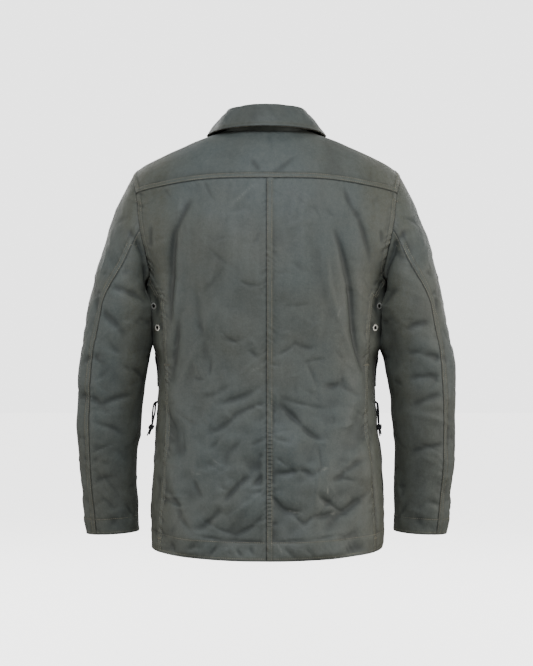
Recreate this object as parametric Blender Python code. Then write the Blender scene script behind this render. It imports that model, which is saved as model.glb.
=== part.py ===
"""A waxed cotton jacket, filled out as it is worn, with nobody in it.

Metres, +Z up. The front faces -Y and the wearer's left is +X. The origin is at the
middle of the base of the neck, where the wearer's shoulders hold the jacket up.
Every cloth piece is a wall cut from one torso form or one sleeve form, so that the
pieces meet along shared seams with a small gap.
"""

import math

import bmesh
import bpy
import numpy as np
from mathutils import Vector
from mathutils.bvhtree import BVHTree

# ---------------------------------------------------------------- driving sizes
WALL = 0.002            # waxed cotton and what backs it
COLLAR_WALL = 0.0022    # two layers of cloth
SEAM_GAP = 0.0003       # between two pieces at a seam
LAY_GAP = 0.0005        # between a panel and what is sewn onto it
MIDDLE_Y = -0.008       # where the torso is widest, front to back

# The torso at each height: half its width, its depth behind and before MIDDLE_Y,
# and how square the section is (2 is an ellipse).
HALF_WIDTH, BACK_DEPTH, FRONT_DEPTH, SQUARENESS = range(1, 5)
TORSO = (
    (-0.760, 0.2030, 0.1560, 0.1380, 2.35),
    (-0.690, 0.2060, 0.1545, 0.1360, 2.35),
    (-0.620, 0.2035, 0.1520, 0.1330, 2.35),
    (-0.550, 0.1985, 0.1490, 0.1300, 2.35),
    (-0.463, 0.1935, 0.1450, 0.1260, 2.30),
    (-0.427, 0.1920, 0.1440, 0.1245, 2.30),
    (-0.380, 0.1965, 0.1450, 0.1245, 2.30),
    (-0.340, 0.2060, 0.1485, 0.1270, 2.25),
    (-0.300, 0.2115, 0.1520, 0.1295, 2.20),
    (-0.265, 0.2130, 0.1550, 0.1300, 2.20),
    (-0.243, 0.2165, 0.1555, 0.1300, 2.20),
    (-0.2165, 0.2300, 0.1550, 0.1285, 2.20),
    (-0.182, 0.2475, 0.1530, 0.1245, 2.20),
    (-0.138, 0.2555, 0.1480, 0.1170, 2.20),
    (-0.110, 0.2520, 0.1430, 0.1105, 2.15),
    (-0.080, 0.2447, 0.1350, 0.1005, 2.10),
    (-0.060, 0.2345, 0.1270, 0.0910, 2.05),
    (-0.046, 0.2170, 0.1195, 0.0835, 2.00),
    (-0.0356, 0.1976, 0.1135, 0.0770, 2.00),
    (-0.025, 0.1753, 0.1070, 0.0710, 2.00),
    (-0.014, 0.1500, 0.1000, 0.0650, 2.00),
    (-0.0035, 0.1270, 0.0925, 0.0600, 2.00),
    (0.004, 0.1060, 0.0865, 0.0560, 2.00),
    (0.014, 0.0780, 0.0780, 0.0510, 2.00),
    (0.028, 0.0500, 0.0660, 0.0430, 2.00),
)

# Height of the hem: at the side seams, and how far it drops at the middles.
HEM_HEIGHT = -0.7226
HEM_DROP_BACK = 0.0085
HEM_DROP_FRONT = 0.0040

# The seam of the neck, by the turn round from the centre back, in degrees.
NECK_SEAM = (
    (0, 0.0060),
    (45, 0.0100),
    (90, 0.0145),
    (118, 0.0100),
    (136, 0.0010),
    (156, -0.0230),
    (170, -0.0440),
    (180, -0.0500),
)

# The seam of the yoke across the back, by turn; its end is at the armhole.
YOKE_SEAM = (
    (0, -0.0784),
    (25, -0.0800),
    (45, -0.0895),
)

# The side seam: its distance from the middle of the back, by height.
SIDE_SEAM = (
    (-0.740, 0.1900),
    (-0.660, 0.1870),
    (-0.600, 0.1815),
    (-0.540, 0.1785),
    (-0.460, 0.1755),
    (-0.400, 0.1775),
    (-0.340, 0.1795),
    (-0.290, 0.1840),
)

# The armhole, by the angle round it: 0 at the shoulder tip, 90 at the back,
# 180 under the arm, 270 at the front.
ARMHOLE = (
    (0, 0.000, -0.060),
    (30, 0.038, -0.080),
    (60, 0.063, -0.114),
    (90, 0.075, -0.155),
    (120, 0.072, -0.204),
    (145, 0.052, -0.243),
    (180, 0.004, -0.251),
    (210, -0.037, -0.239),
    (240, -0.061, -0.205),
    (270, -0.069, -0.158),
    (300, -0.060, -0.112),
    (330, -0.037, -0.079),
)
SIDE_ANGLE = 145        # the side seam's top
YOKE_BACK_ANGLE = 48    # the yoke's seam on the back
YOKE_NECK_TURN = 118    # where the yoke's front seam meets the neck

# The sleeve below the armhole, for the left one: the middle, half its width and depth.
SLEEVE = (
    (-0.300, 0.2523, 0.018, 0.0623, 0.0700),
    (-0.340, 0.2593, 0.014, 0.0633, 0.0685),
    (-0.374, 0.2683, 0.010, 0.0618, 0.0670),
    (-0.420, 0.2737, 0.004, 0.0605, 0.0645),
    (-0.463, 0.2781, -0.002, 0.0583, 0.0620),
    (-0.534, 0.2823, -0.013, 0.0545, 0.0585),
    (-0.605, 0.2826, -0.028, 0.0517, 0.0550),
    (-0.676, 0.2787, -0.043, 0.0492, 0.0510),
    (-0.705, 0.2777, -0.049, 0.0479, 0.0490),
)
BICEPS_HEIGHT = -0.300
CUFF_HEIGHT = -0.705
CUFF_RISE = 0.005                 # the cuff's inner side lies higher than its outer side
HEAD_RUN = (0.116, 0.0, -0.200)   # how the sleeve's head leaves the shoulder tip
HEAD_REACH = 0.050                # and how far it stands out under the arm
HEAD_ARRIVAL = (0.15, -0.10, -1.0)  # the way it comes down to the biceps
ARM_CLEAR = 0.0015                # between the sleeve and the body
ARM_SOFT = 0.0030                 # how softly the sleeve is pushed out by the body
ARMPIT_HEIGHT = -0.236            # below here the sleeve lies beside the body

# The two seams of a sleeve, as angles round it, at the armhole, biceps and cuff.
BACK_SEAM_ANGLES = (95, 56, 58)
FRONT_SEAM_ANGLES = (-115, -122, -125)

# Folds: a start and an end, how far the middle bows aside, half the width, and the
# depth, which is negative for a ridge. On the torso x is across and z is up; on a
# sleeve x is the angle in degrees over 1000 and z is up.
BACK_FOLDS = (
    (0.132, -0.123, 0.165, -0.325, 0.0140, 0.0180, 0.0110),
    (0.146, -0.345, 0.170, -0.430, 0.0000, 0.0180, 0.0080),
    (0.083, -0.285, 0.150, -0.460, 0.0040, 0.0190, -0.0050),
    (-0.131, -0.100, -0.180, -0.225, -0.0040, 0.0180, 0.0070),
    (-0.117, -0.170, -0.163, -0.398, -0.0060, 0.0190, 0.0110),
    (-0.088, -0.190, -0.140, -0.420, 0.0060, 0.0190, -0.0050),
    (0.092, -0.466, 0.008, -0.438, 0.0000, 0.0180, 0.0060),
    (0.092, -0.514, 0.010, -0.464, 0.0040, 0.0180, 0.0060),
    (0.122, -0.690, 0.030, -0.585, 0.0000, 0.0200, 0.0080),
    (0.126, -0.690, 0.176, -0.615, 0.0000, 0.0200, 0.0060),
    (-0.024, -0.462, -0.092, -0.528, 0.0000, 0.0180, 0.0060),
    (-0.014, -0.582, -0.100, -0.578, 0.0000, 0.0180, 0.0060),
    (-0.110, -0.597, -0.175, -0.556, 0.0000, 0.0190, 0.0070),
    (-0.108, -0.668, -0.180, -0.616, 0.0000, 0.0190, 0.0060),
)
FRONT_FOLDS = (
    (0.150, -0.150, 0.130, -0.300, 0.0060, 0.0190, 0.0080),
    (-0.148, -0.140, -0.136, -0.310, -0.0050, 0.0190, 0.0090),
    (0.060, -0.300, 0.110, -0.400, 0.0000, 0.0200, 0.0060),
    (-0.070, -0.320, -0.120, -0.390, 0.0000, 0.0200, 0.0060),
)
SLEEVE_FOLDS = (
    (0.060, -0.268, 0.150, -0.300, 0.0000, 0.0160, 0.0070),
    (0.075, -0.315, 0.165, -0.350, 0.0040, 0.0170, 0.0080),
    (0.055, -0.382, 0.130, -0.366, 0.0000, 0.0160, 0.0055),
    (0.055, -0.445, 0.150, -0.455, 0.0000, 0.0160, 0.0060),
    (-0.120, -0.330, -0.040, -0.360, 0.0000, 0.0170, 0.0060),
    (-0.130, -0.420, -0.050, -0.400, 0.0000, 0.0170, 0.0060),
)
ANGLE_SPAN = 0.85       # metres of cloth in one of a sleeve fold's units of angle

# Where the rows and columns of each panel's points lie.
SIDE_HEIGHTS = (-0.7226, -0.694, -0.660, -0.622, -0.584, -0.546, -0.510, -0.484, -0.456,
                -0.427, -0.398, -0.368, -0.340, -0.312, -0.286, -0.264)
BACK_COLUMNS = (0.0, 0.06, 0.15, 0.25, 0.35, 0.45, 0.55, 0.64, 0.73, 0.81, 0.89, 0.95, 1.0)
SIDE_ARM_ANGLES = (145, 161, 177, 193, 209, 225)
BACK_ARM_ANGLES = (145, 132, 119, 107, 95, 83, 71, 59, 48)
YOKE_ARM_ANGLES = (48, 33, 18, 3, -11, -25)
FRONT_ARM_ANGLES = (225, 245, 260, 275, 290, 305, 320, 335)
YOKE_DEPTH = (0.0, 0.22, 0.45, 0.70, 1.0)
NECK_FRONT_TURNS = (118, 127, 136, 145, 154, 163, 172, 180)
FRONT_HEM_TURNS = (64, 70, 76, 83, 91, 98, 106, 114, 121, 128, 135, 142, 149, 156, 163.5, 171.3, 180)
FRONT_CHEST_TURNS = (116, 124, 131, 137.5, 143.5, 149, 154.5, 160, 166, 172.8, 180)
CHEST_HEIGHT_FRONT = -0.247
SLEEVE_HEAD_STEPS = (0.0, 0.05, 0.13, 0.25, 0.42, 0.62, 0.82)
SLEEVE_LOWER_STEPS = 12

# The collar, by the turn of the neck seam: where the fold lies, outward from the
# seam and in height, and where the free edge lies.
FOLD_OUT, FOLD_HEIGHT, EDGE_OUT, EDGE_HEIGHT = range(1, 5)
COLLAR = (
    (0, -0.0110, 0.0545, 0.0165, 0.0138),
    (25, -0.0110, 0.0529, 0.0168, 0.0130),
    (45, -0.0110, 0.0508, 0.0184, 0.0114),
    (70, -0.0110, 0.0470, 0.0230, 0.0090),
    (90, -0.0114, 0.0420, 0.0278, 0.0082),
    (118, -0.0105, 0.0310, 0.0265, 0.0025),
    (136, -0.0070, 0.0210, 0.0280, -0.0085),
    (156, -0.0020, 0.0000, 0.0290, -0.0500),
    (172, -0.0010, -0.0210, 0.0300, -0.0870),
    (180, -0.0010, -0.0270, 0.0300, -0.1010),
)
COLLAR_END_TURN = 176
STAND_BELOW_FOLD = 0.0088
# The collar's section over the fold: outward from the stand and down from the fold.
FOLD_SECTION = (
    (0.0000, -0.0085),
    (0.0000, -0.0040),
    (0.0014, -0.0012),
    (0.0040, 0.0000),
    (0.0066, -0.0012),
    (0.0084, -0.0045),
)
FALL_STEPS = (0.35, 0.70, 1.0)
FALL_BOW = 0.0022

# What is sewn onto the fronts: the first and last column and row of the front's
# points, and how far the cloth stands off the front at its middle.
POCKET_COLUMNS = (4, 13)
POCKET_ROWS = (1, 7)
POCKET_STAND_OFF = 0.0042
POCKET_EDGE_SHARE = 0.35   # how far the foot and the top already stand off
POCKET_CORNER = 3.2        # how soon the cloth rises from the pocket's sides
FLAP_ROWS = (6, 8)         # its first two rows lie over the pocket
PLACKET_LIFT = 0.0007
PLACKET_TOP_SHARE = 0.9    # the placket ends a little below the neck

STUD_RADIUS = 0.0075
STUD_HEIGHT = 0.0030
STUD_COUNT = 6
STUD_TOP = -0.118
STUD_STEP = 0.105
STUD_LIFT = 0.0009

EYELET_OUTER = 0.0058
EYELET_HOLE = 0.0029
EYELET_TUBE = 0.0011
EYELET_LIFT = 0.0003
# Eyelets of one side: a name, the turn in degrees, the height.
EYELETS = (
    ("vent_upper", 66.0, -0.2962),
    ("vent_lower", 63.2, -0.3342),
    ("cord_eyelet", 85.0, -0.4650),
)

CORD_DIAMETER = 0.0023
CORD_SPACING = 0.0048
# The waist cord at the left side, relative to the middle of its eyelet's foot; each
# leg goes on from its last point here to the knot.
CORD_LEG_BACK = (
    (0.0000, 0.0013, 0.0000),
    (0.0024, 0.0014, -0.0002),
    (0.0050, 0.0017, -0.0022),
    (0.0066, 0.0020, -0.0062),
    (0.0076, 0.0022, -0.0110),
    (0.0084, 0.0022, -0.0170),
    (0.0090, 0.0021, -0.0240),
    (0.0094, 0.0018, -0.0310),
)
CORD_LEG_FRONT = (
    (0.0000, -0.0013, 0.0000),
    (0.0022, -0.0014, -0.0004),
    (0.0040, -0.0017, -0.0030),
    (0.0044, -0.0020, -0.0070),
    (0.0042, -0.0022, -0.0120),
    (0.0046, -0.0022, -0.0170),
    (0.0056, -0.0021, -0.0230),
    (0.0076, -0.0018, -0.0310),
)
KNOT_MIDDLE = (0.0112, 0.0, -0.0455)
KNOT_RADIUS = 0.0042
KNOT_FACE = 0.0028         # the flat end that the two legs come to
KNOT_LENGTH = 0.0086
TAIL_END = (0.0172, -0.0006, -0.0613)
TAIL_RADIUS = 0.0018
# How far each side's cord hangs out, past the first 3 mm.
CORD_OUT_FREE = 0.003
CORD_OUT = {"left": 1.0, "right": 0.45}

MATERIALS = {
    "waxed_cotton": ((0.075, 0.088, 0.088), 0.55, 0.0),
    "nickel": ((0.72, 0.71, 0.69), 0.28, 1.0),
    "black_cord": ((0.012, 0.012, 0.013), 0.8, 0.0),
}


# ---------------------------------------------------------------- reading the tables
def read(table, column, key):
    """A smooth curve through one column of a table, read at each key."""
    keys = np.array([row[0] for row in table], float)
    values = np.array([row[column] for row in table], float)
    slopes = np.gradient(values, keys)
    key = np.clip(key, keys[0], keys[-1])
    low = np.clip(np.searchsorted(keys, key, side="right") - 1, 0, len(keys) - 2)
    step = keys[low + 1] - keys[low]
    u = (key - keys[low]) / step
    rise = values[low + 1] - values[low]
    start, end = slopes[low] * step, slopes[low + 1] * step
    return values[low] + u * start + u * u * (3 * rise - 2 * start - end) \
        + u ** 3 * (start + end - 2 * rise)


def blend(start, end, share):
    return start + (end - start) * share


def ease(share):
    share = np.clip(share, 0, 1)
    return share * share * (3 - 2 * share)


def unit(vectors):
    length = np.linalg.norm(vectors, axis=-1, keepdims=True)
    return vectors / np.maximum(length, 1e-12)


# ---------------------------------------------------------------- the torso form
def torso_form(turn, height):
    """The torso without folds; turn goes from the centre back to the wearer's left."""
    width = read(TORSO, HALF_WIDTH, height)
    square = read(TORSO, SQUARENESS, height)
    side, back = np.sin(turn), np.cos(turn)
    depth = np.where(back > 0, read(TORSO, BACK_DEPTH, height), read(TORSO, FRONT_DEPTH, height))
    reach = (np.abs(side) ** square + np.abs(back) ** square) ** (-1 / square)
    return np.stack([width * reach * side, MIDDLE_Y + depth * reach * back, height], -1)


def facing(surface, turn, height):
    """The outward direction of a torso surface."""
    step = 1e-4
    across = surface(turn + step, height) - surface(turn - step, height)
    up = surface(turn, height + step) - surface(turn, height - step)
    return unit(np.cross(up, across))


def fold_depth(folds, across, up):
    """How far the folds push the cloth in at each place."""
    depth = np.zeros(np.broadcast(across, up).shape)
    for x0, z0, x1, z1, bow, half_width, deep in folds:
        run_x, run_z = x1 - x0, z1 - z0
        length = math.hypot(run_x, run_z)
        along = ((across - x0) * run_x + (up - z0) * run_z) / length ** 2
        aside = ((up - z0) * run_x - (across - x0) * run_z) / length
        inside = np.clip(along, 0, 1)
        aside = aside - bow * 4 * inside * (1 - inside)
        beyond = (along - inside) * length
        taper = 0.25 + 0.75 * np.sin(np.pi * inside) ** 0.7
        depth += deep * taper * np.exp(-(aside ** 2 + beyond ** 2) / half_width ** 2)
    return depth


def torso(turn, height):
    """The torso with its folds."""
    form = torso_form(turn, height)
    back_share = ease((form[..., 1] - MIDDLE_Y - 0.02) / 0.05)
    front_share = ease((MIDDLE_Y - 0.02 - form[..., 1]) / 0.05)
    depth = back_share * fold_depth(BACK_FOLDS, form[..., 0], form[..., 2])
    depth += front_share * fold_depth(FRONT_FOLDS, form[..., 0], form[..., 2])
    return form - facing(torso_form, turn, height) * depth[..., None]


def turn_at(y, height):
    """The turn of the place on the torso at a distance from front to back."""
    depth = np.where(y > MIDDLE_Y, read(TORSO, BACK_DEPTH, height), read(TORSO, FRONT_DEPTH, height))
    square = read(TORSO, SQUARENESS, height)
    back = np.clip((y - MIDDLE_Y) / depth, -1, 1)
    return np.arctan2((1 - np.abs(back) ** square) ** (1 / square), back)


def turn_of_side_seam(height):
    """The turn of the side seam, which lies a little to the back."""
    armhole_turn, armhole_height = armhole(SIDE_ANGLE)
    square = read(TORSO, SQUARENESS, height)
    share = read(SIDE_SEAM, 1, height) / read(TORSO, HALF_WIDTH, height)
    low = np.arctan2(share, (1 - share ** square) ** (1 / square))
    start = SIDE_SEAM[-1][0]
    return blend(low, armhole_turn, ease((height - start) / (armhole_height - start)))


def armhole(angle):
    """The turn and height of the armhole's edge, left side."""
    rows = [(row[0] - 360,) + row[1:] for row in ARMHOLE[-3:]]
    rows += list(ARMHOLE)
    rows += [(row[0] + 360,) + row[1:] for row in ARMHOLE[:3]]
    angle = (np.asarray(angle, float) + 40) % 360 - 40
    height = read(rows, 2, angle)
    y = read(rows, 1, angle) + MIDDLE_Y * np.clip(np.cos(np.radians(angle)), 0, 1) ** 8
    return turn_at(y, height), height


def torso_side(y, height):
    """How far the torso reaches sideways at a place."""
    depth = np.where(y > MIDDLE_Y, read(TORSO, BACK_DEPTH, height), read(TORSO, FRONT_DEPTH, height))
    square = read(TORSO, SQUARENESS, height)
    back = np.clip(np.abs((y - MIDDLE_Y) / depth), 0, 1)
    return read(TORSO, HALF_WIDTH, height) * (1 - back ** square) ** (1 / square)


def hem_height(turn):
    back = np.cos(turn)
    drop = np.where(back > 0, HEM_DROP_BACK, HEM_DROP_FRONT)
    return HEM_HEIGHT - drop * back ** 2


# ---------------------------------------------------------------- the sleeve form
def sleeve_ring(height, angle):
    """A place on the left sleeve below the armhole; 0 is outside, 90 is at the back."""
    radians = np.radians(angle)
    x = read_down(SLEEVE, 1, height) + read_down(SLEEVE, 3, height) * np.cos(radians)
    y = read_down(SLEEVE, 2, height) + read_down(SLEEVE, 4, height) * np.sin(radians)
    return np.stack([x, y, height + 0 * x], -1)


def read_down(table, column, height):
    """The same as read, for a table whose heights fall."""
    return read(table[::-1], column, height)


def seam_angle(angles, down):
    """A sleeve seam's angle: down is 0 at the armhole, 1 at the biceps, 2 at the cuff."""
    upper = blend(angles[0], angles[1], ease(down))
    return np.where(down < 1, upper, blend(angles[1], angles[2], down - 1))


def sleeve_form(down, hole_angle, ring_angle):
    """The left sleeve, from the armhole to the cuff."""
    turn, height = armhole(hole_angle)
    edge = torso(turn, height)
    out = facing(torso, turn, height)
    bottom = sleeve_ring(np.full_like(turn, BICEPS_HEIGHT), ring_angle)
    drop = (height - BICEPS_HEIGHT)[..., None]
    top_share = ((1 + np.cos(np.radians(hole_angle))) / 2)[..., None]
    leave = top_share * np.array(HEAD_RUN) + (1 - top_share) * out * HEAD_REACH
    arrive = drop * np.array(HEAD_ARRIVAL)
    u = np.clip(down, 0, 1)[..., None]
    head = edge * (1 - 3 * u ** 2 + 2 * u ** 3) + leave * (u - 2 * u ** 2 + u ** 3) \
        + bottom * (3 * u ** 2 - 2 * u ** 3) + arrive * (u ** 3 - u ** 2)
    below = np.clip(down - 1, 0, 1)
    inward = (1 - np.cos(np.radians(ring_angle))) / 2
    ring_height = blend(BICEPS_HEIGHT, CUFF_HEIGHT, below) + CUFF_RISE * inward * below ** 2
    lower = sleeve_ring(ring_height, ring_angle)
    place = np.where((down < 1)[..., None], head, lower)
    folded_angle = (ring_angle + 180) % 360 - 180
    deep = fold_depth([(a * ANGLE_SPAN, b, c * ANGLE_SPAN, d, bow, width, depth)
                       for a, b, c, d, bow, width, depth in SLEEVE_FOLDS],
                      folded_angle / 1000 * ANGLE_SPAN, place[..., 2])
    deep = deep * ease(down / 0.4)
    radians = np.radians(ring_angle)
    place[..., 0] -= deep * np.cos(radians)
    place[..., 1] -= deep * np.sin(radians)
    beside = ease((ARMPIT_HEIGHT - place[..., 2]) / 0.016) * ease(down / 0.12)
    over = torso_side(place[..., 1], place[..., 2]) + ARM_CLEAR - place[..., 0]
    place[..., 0] += beside * (over + np.sqrt(over ** 2 + ARM_SOFT ** 2)) / 2
    return place


# ---------------------------------------------------------------- walls from grids
def cells_of(mask):
    rows, columns = mask.shape
    return [(r, c) for r in range(rows) for c in range(columns) if mask[r, c]]


def cell_sides(mask):
    """Each side of a cloth cell that has no cloth beside it, with its cell."""
    rows, columns = mask.shape
    for r, c in cells_of(mask):
        ring = ((r, c), (r + 1, c), (r + 1, c + 1), (r, c + 1))
        beside = ((r, c - 1), (r + 1, c), (r, c + 1), (r - 1, c))
        for k, (i, j) in enumerate(beside):
            if not (0 <= i < rows and 0 <= j < columns and mask[i, j]):
                yield (r, c), ring[k], ring[(k + 1) % 4]


def seam_pull(points, mask):
    """At a piece's edge, the way back into it that moves each side by one; else nothing."""
    into = {}
    for (r, c), start, end in cell_sides(mask):
        along = unit(points[end] - points[start])
        towards = points[r:r + 2, c:c + 2].mean((0, 1)) - points[start]
        towards = unit(towards - along * np.dot(towards, along))
        into.setdefault(start, []).append(towards)
        into.setdefault(end, []).append(towards)
    pull = np.zeros_like(points)
    for place, ways in into.items():
        both = ways[0] + ways[-1]
        pull[place] = both / max(1 + np.dot(ways[0], ways[-1]), 0.3)
    return pull


def wall_mesh(name, outer, inner, mask=None, crossed=()):
    """A closed wall between two grids of points; mask says which cells are cloth.

    A cell is two triangles, and crossed lists the columns that are cut the other way.
    """
    rows, columns = outer.shape[:2]
    if mask is None:
        mask = np.ones((rows - 1, columns - 1), bool)
    form = bmesh.new()
    made = {}

    def corner(layer, i, j):
        key = (layer, i, j)
        if key not in made:
            made[key] = form.verts.new((outer, inner)[layer][i, j])
        return made[key]

    def two_faces(a, b, c, d):
        form.faces.new((a, b, c))
        form.faces.new((a, c, d))

    for r, c in cells_of(mask):
        ring = [(r, c), (r + 1, c), (r + 1, c + 1), (r, c + 1)]
        if c in crossed:
            ring = ring[1:] + ring[:1]
        two_faces(*[corner(0, *place) for place in ring])
        back = [corner(1, *place) for place in ring]
        form.faces.new((back[2], back[1], back[0]))
        form.faces.new((back[3], back[2], back[0]))
    for cell, start, end in cell_sides(mask):
        side = [corner(0, *end), corner(0, *start), corner(1, *start), corner(1, *end)]
        if start < end:
            side = side[1:] + side[:1]
        two_faces(*side)
    bmesh.ops.recalc_face_normals(form, faces=form.faces)
    mesh = bpy.data.meshes.new(name)
    form.to_mesh(mesh)
    form.free()
    return mesh


def add_object(name, mesh, material):
    piece = bpy.data.objects.new(name, mesh)
    bpy.context.scene.collection.objects.link(piece)
    piece.data.materials.append(bpy.data.materials[material])
    piece.data.shade_smooth()
    piece.data.set_sharp_from_angle(angle=math.radians(40))
    return piece


def mirrored(points):
    """The same points on the other side of the jacket."""
    return points * np.array((-1.0, 1.0, 1.0))


def torso_panel(name, turn, height, mask=None, crossed=()):
    """A panel of the torso form, with half a seam gap taken off all round."""
    outer = torso(turn, height)
    inner = outer - facing(torso, turn, height) * WALL
    if mask is None:
        mask = np.ones((outer.shape[0] - 1, outer.shape[1] - 1), bool)
    pull = seam_pull(outer, mask) * SEAM_GAP / 2
    mesh = wall_mesh(name, outer + pull, inner + pull, mask, crossed)
    add_object(name, mesh, "waxed_cotton")
    return outer + pull


# ---------------------------------------------------------------- back, yoke, fronts
def neck_height(turn_degrees):
    return read(NECK_SEAM, 1, np.abs(turn_degrees))


def yoke_height(turn):
    """The height of the yoke's seam on the back."""
    corner_turn, corner_height = armhole(YOKE_BACK_ANGLE)
    rows = YOKE_SEAM + ((math.degrees(corner_turn), float(corner_height)),)
    return read(rows, 1, np.degrees(np.abs(turn)))


def make_back(name, side):
    """One half of the back, from the hem to the yoke."""
    arm_turns, arm_heights = armhole(np.array(BACK_ARM_ANGLES, float))
    low_heights = np.array(SIDE_HEIGHTS)
    edge_turns = np.concatenate([turn_of_side_seam(low_heights), arm_turns])
    edge_heights = np.concatenate([low_heights, arm_heights])
    edge_heights[0] = hem_height(edge_turns[0])
    turn = edge_turns[:, None] * np.array(BACK_COLUMNS)[None, :]
    foot, head = hem_height(edge_turns), yoke_height(edge_turns)
    share = ((edge_heights - foot) / (head - foot))[:, None]
    height = blend(hem_height(turn), yoke_height(turn), share)
    return torso_panel(name, side * turn, height)


def relaxed(places, rounds=40, step=1e-4):
    """The same turns and heights, with those inside the edges spread evenly on the torso."""
    places = places.copy()
    inside = places[1:-1, 1:-1]
    for _ in range(rounds):
        points = torso_form(places[..., 0], places[..., 1])
        here = points[1:-1, 1:-1]
        around = points[:-2, 1:-1] + points[2:, 1:-1] + points[1:-1, :-2] + points[1:-1, 2:]
        move = around / 4 - here
        across = (torso_form(inside[..., 0] + step, inside[..., 1]) - here) / step
        up = (torso_form(inside[..., 0], inside[..., 1] + step) - here) / step
        across_across, up_up = (across ** 2).sum(-1), (up ** 2).sum(-1)
        across_up = (across * up).sum(-1)
        move_across, move_up = (across * move).sum(-1), (up * move).sum(-1)
        size = across_across * up_up - across_up ** 2
        inside[..., 0] += (move_across * up_up - move_up * across_up) / size
        inside[..., 1] += (move_up * across_across - move_across * across_up) / size
    return places


def make_yoke():
    """The yoke, in columns that run from the neck out to the seams and armholes."""
    corner_turn = float(armhole(YOKE_BACK_ANGLE)[0])
    back_turns = corner_turn * np.array(BACK_COLUMNS)
    arm_turns, arm_heights = armhole(np.array(YOKE_ARM_ANGLES, float))
    out_turns = np.concatenate([back_turns, arm_turns[1:]])
    out_heights = np.concatenate([yoke_height(back_turns), arm_heights[1:]])
    in_turns = out_turns * math.radians(YOKE_NECK_TURN) / out_turns[-1]
    in_heights = neck_height(np.degrees(in_turns))
    share = np.array(YOKE_DEPTH)[:, None]
    turn = blend(in_turns[None, :], out_turns[None, :], share)
    height = blend(in_heights[None, :], out_heights[None, :], share)
    turn = np.concatenate([-turn[:, :0:-1], turn], 1)
    height = np.concatenate([height[:, :0:-1], height], 1)
    places = relaxed(np.stack([turn, height], -1))
    right_half = range(turn.shape[1] // 2)
    torso_panel("yoke", places[..., 0], places[..., 1], crossed=right_half)
    return np.degrees(in_turns)


def patch(left, right, bottom, top):
    """Points inside four edges, blended from all of them."""
    rows, columns = len(left), len(bottom)
    v = np.linspace(0, 1, rows)
    u = np.linspace(0, 1, columns)
    length_v = np.cumsum(np.r_[0, np.linalg.norm(np.diff(left, axis=0), axis=1)])
    if length_v[-1] > 0:
        v = length_v / length_v[-1]
    u, v = u[None, :, None], v[:, None, None]
    sides = left[:, None] * (1 - u) + right[:, None] * u
    ends = bottom[None] * (1 - v) + top[None] * v
    corners = left[0] * (1 - u) * (1 - v) + right[0] * u * (1 - v) \
        + left[-1] * (1 - u) * v + right[-1] * u * v
    return sides + ends - corners


def make_front(name, side):
    """A front, with a notch under the arm, up to the yoke's front seam and the neck."""
    low_heights = np.append(np.array(SIDE_HEIGHTS), armhole(SIDE_ANGLE)[1])
    side_turns = turn_of_side_seam(low_heights)
    side_turns[-1] = armhole(SIDE_ANGLE)[0]
    side_edge = np.stack([side_turns, low_heights], 1)
    side_edge[0, 1] = hem_height(side_turns[0])

    hem_turns = np.radians(np.array(FRONT_HEM_TURNS, float))
    hem_turns[0] = side_turns[0]
    hem_edge = np.stack([hem_turns, hem_height(hem_turns)], 1)

    run_turns, run_heights = armhole(np.array(SIDE_ARM_ANGLES, float))
    chest_turns = np.radians(np.array(FRONT_CHEST_TURNS))
    level = blend(run_heights[-1], CHEST_HEIGHT_FRONT,
                  ease((chest_turns - run_turns[-1]) / (math.pi - run_turns[-1])))
    chest_edge = np.stack([np.append(run_turns, chest_turns), np.append(run_heights, level)], 1)

    share = (side_edge[:, 1] - side_edge[0, 1]) / (side_edge[-1, 1] - side_edge[0, 1])
    middle_edge = np.stack([np.full(len(share), math.pi),
                            blend(hem_edge[-1, 1], chest_edge[-1, 1], share)], 1)
    lower = patch(side_edge, middle_edge, hem_edge, chest_edge)

    notch = len(SIDE_ARM_ANGLES) - 1
    arm_turns, arm_heights = armhole(np.array(FRONT_ARM_ANGLES, float))
    arm_edge = np.stack([arm_turns, arm_heights], 1)
    seam_share = np.array(YOKE_DEPTH)[::-1]
    neck_turn = math.radians(YOKE_NECK_TURN)
    seam = np.stack([blend(neck_turn, arm_turns[-1], seam_share),
                     blend(neck_height(YOKE_NECK_TURN), arm_heights[-1], seam_share)], 1)
    neck_turns = np.array(NECK_FRONT_TURNS, float)[1:]
    neck = np.stack([np.radians(neck_turns), neck_height(neck_turns)], 1)
    top_edge = np.concatenate([seam, neck])
    rise = np.cumsum(np.r_[0, np.linalg.norm(np.diff(arm_edge, axis=0), axis=1)])
    middle = np.stack([np.full(len(rise), math.pi),
                       blend(chest_edge[-1, 1], top_edge[-1, 1], rise / rise[-1])], 1)
    upper = relaxed(patch(arm_edge, middle, chest_edge[notch:], top_edge))

    rows = len(lower) + len(upper) - 1
    grid = np.zeros((rows, len(hem_edge), 2))
    grid[:len(lower)] = lower
    grid[len(lower):, :notch] = lower[-1, :notch]
    grid[len(lower):, notch:] = upper[1:]
    mask = np.ones((rows - 1, len(hem_edge) - 1), bool)
    mask[len(lower) - 1:, :notch] = False
    return torso_panel(name, side * grid[..., 0], grid[..., 1], mask)


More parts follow.
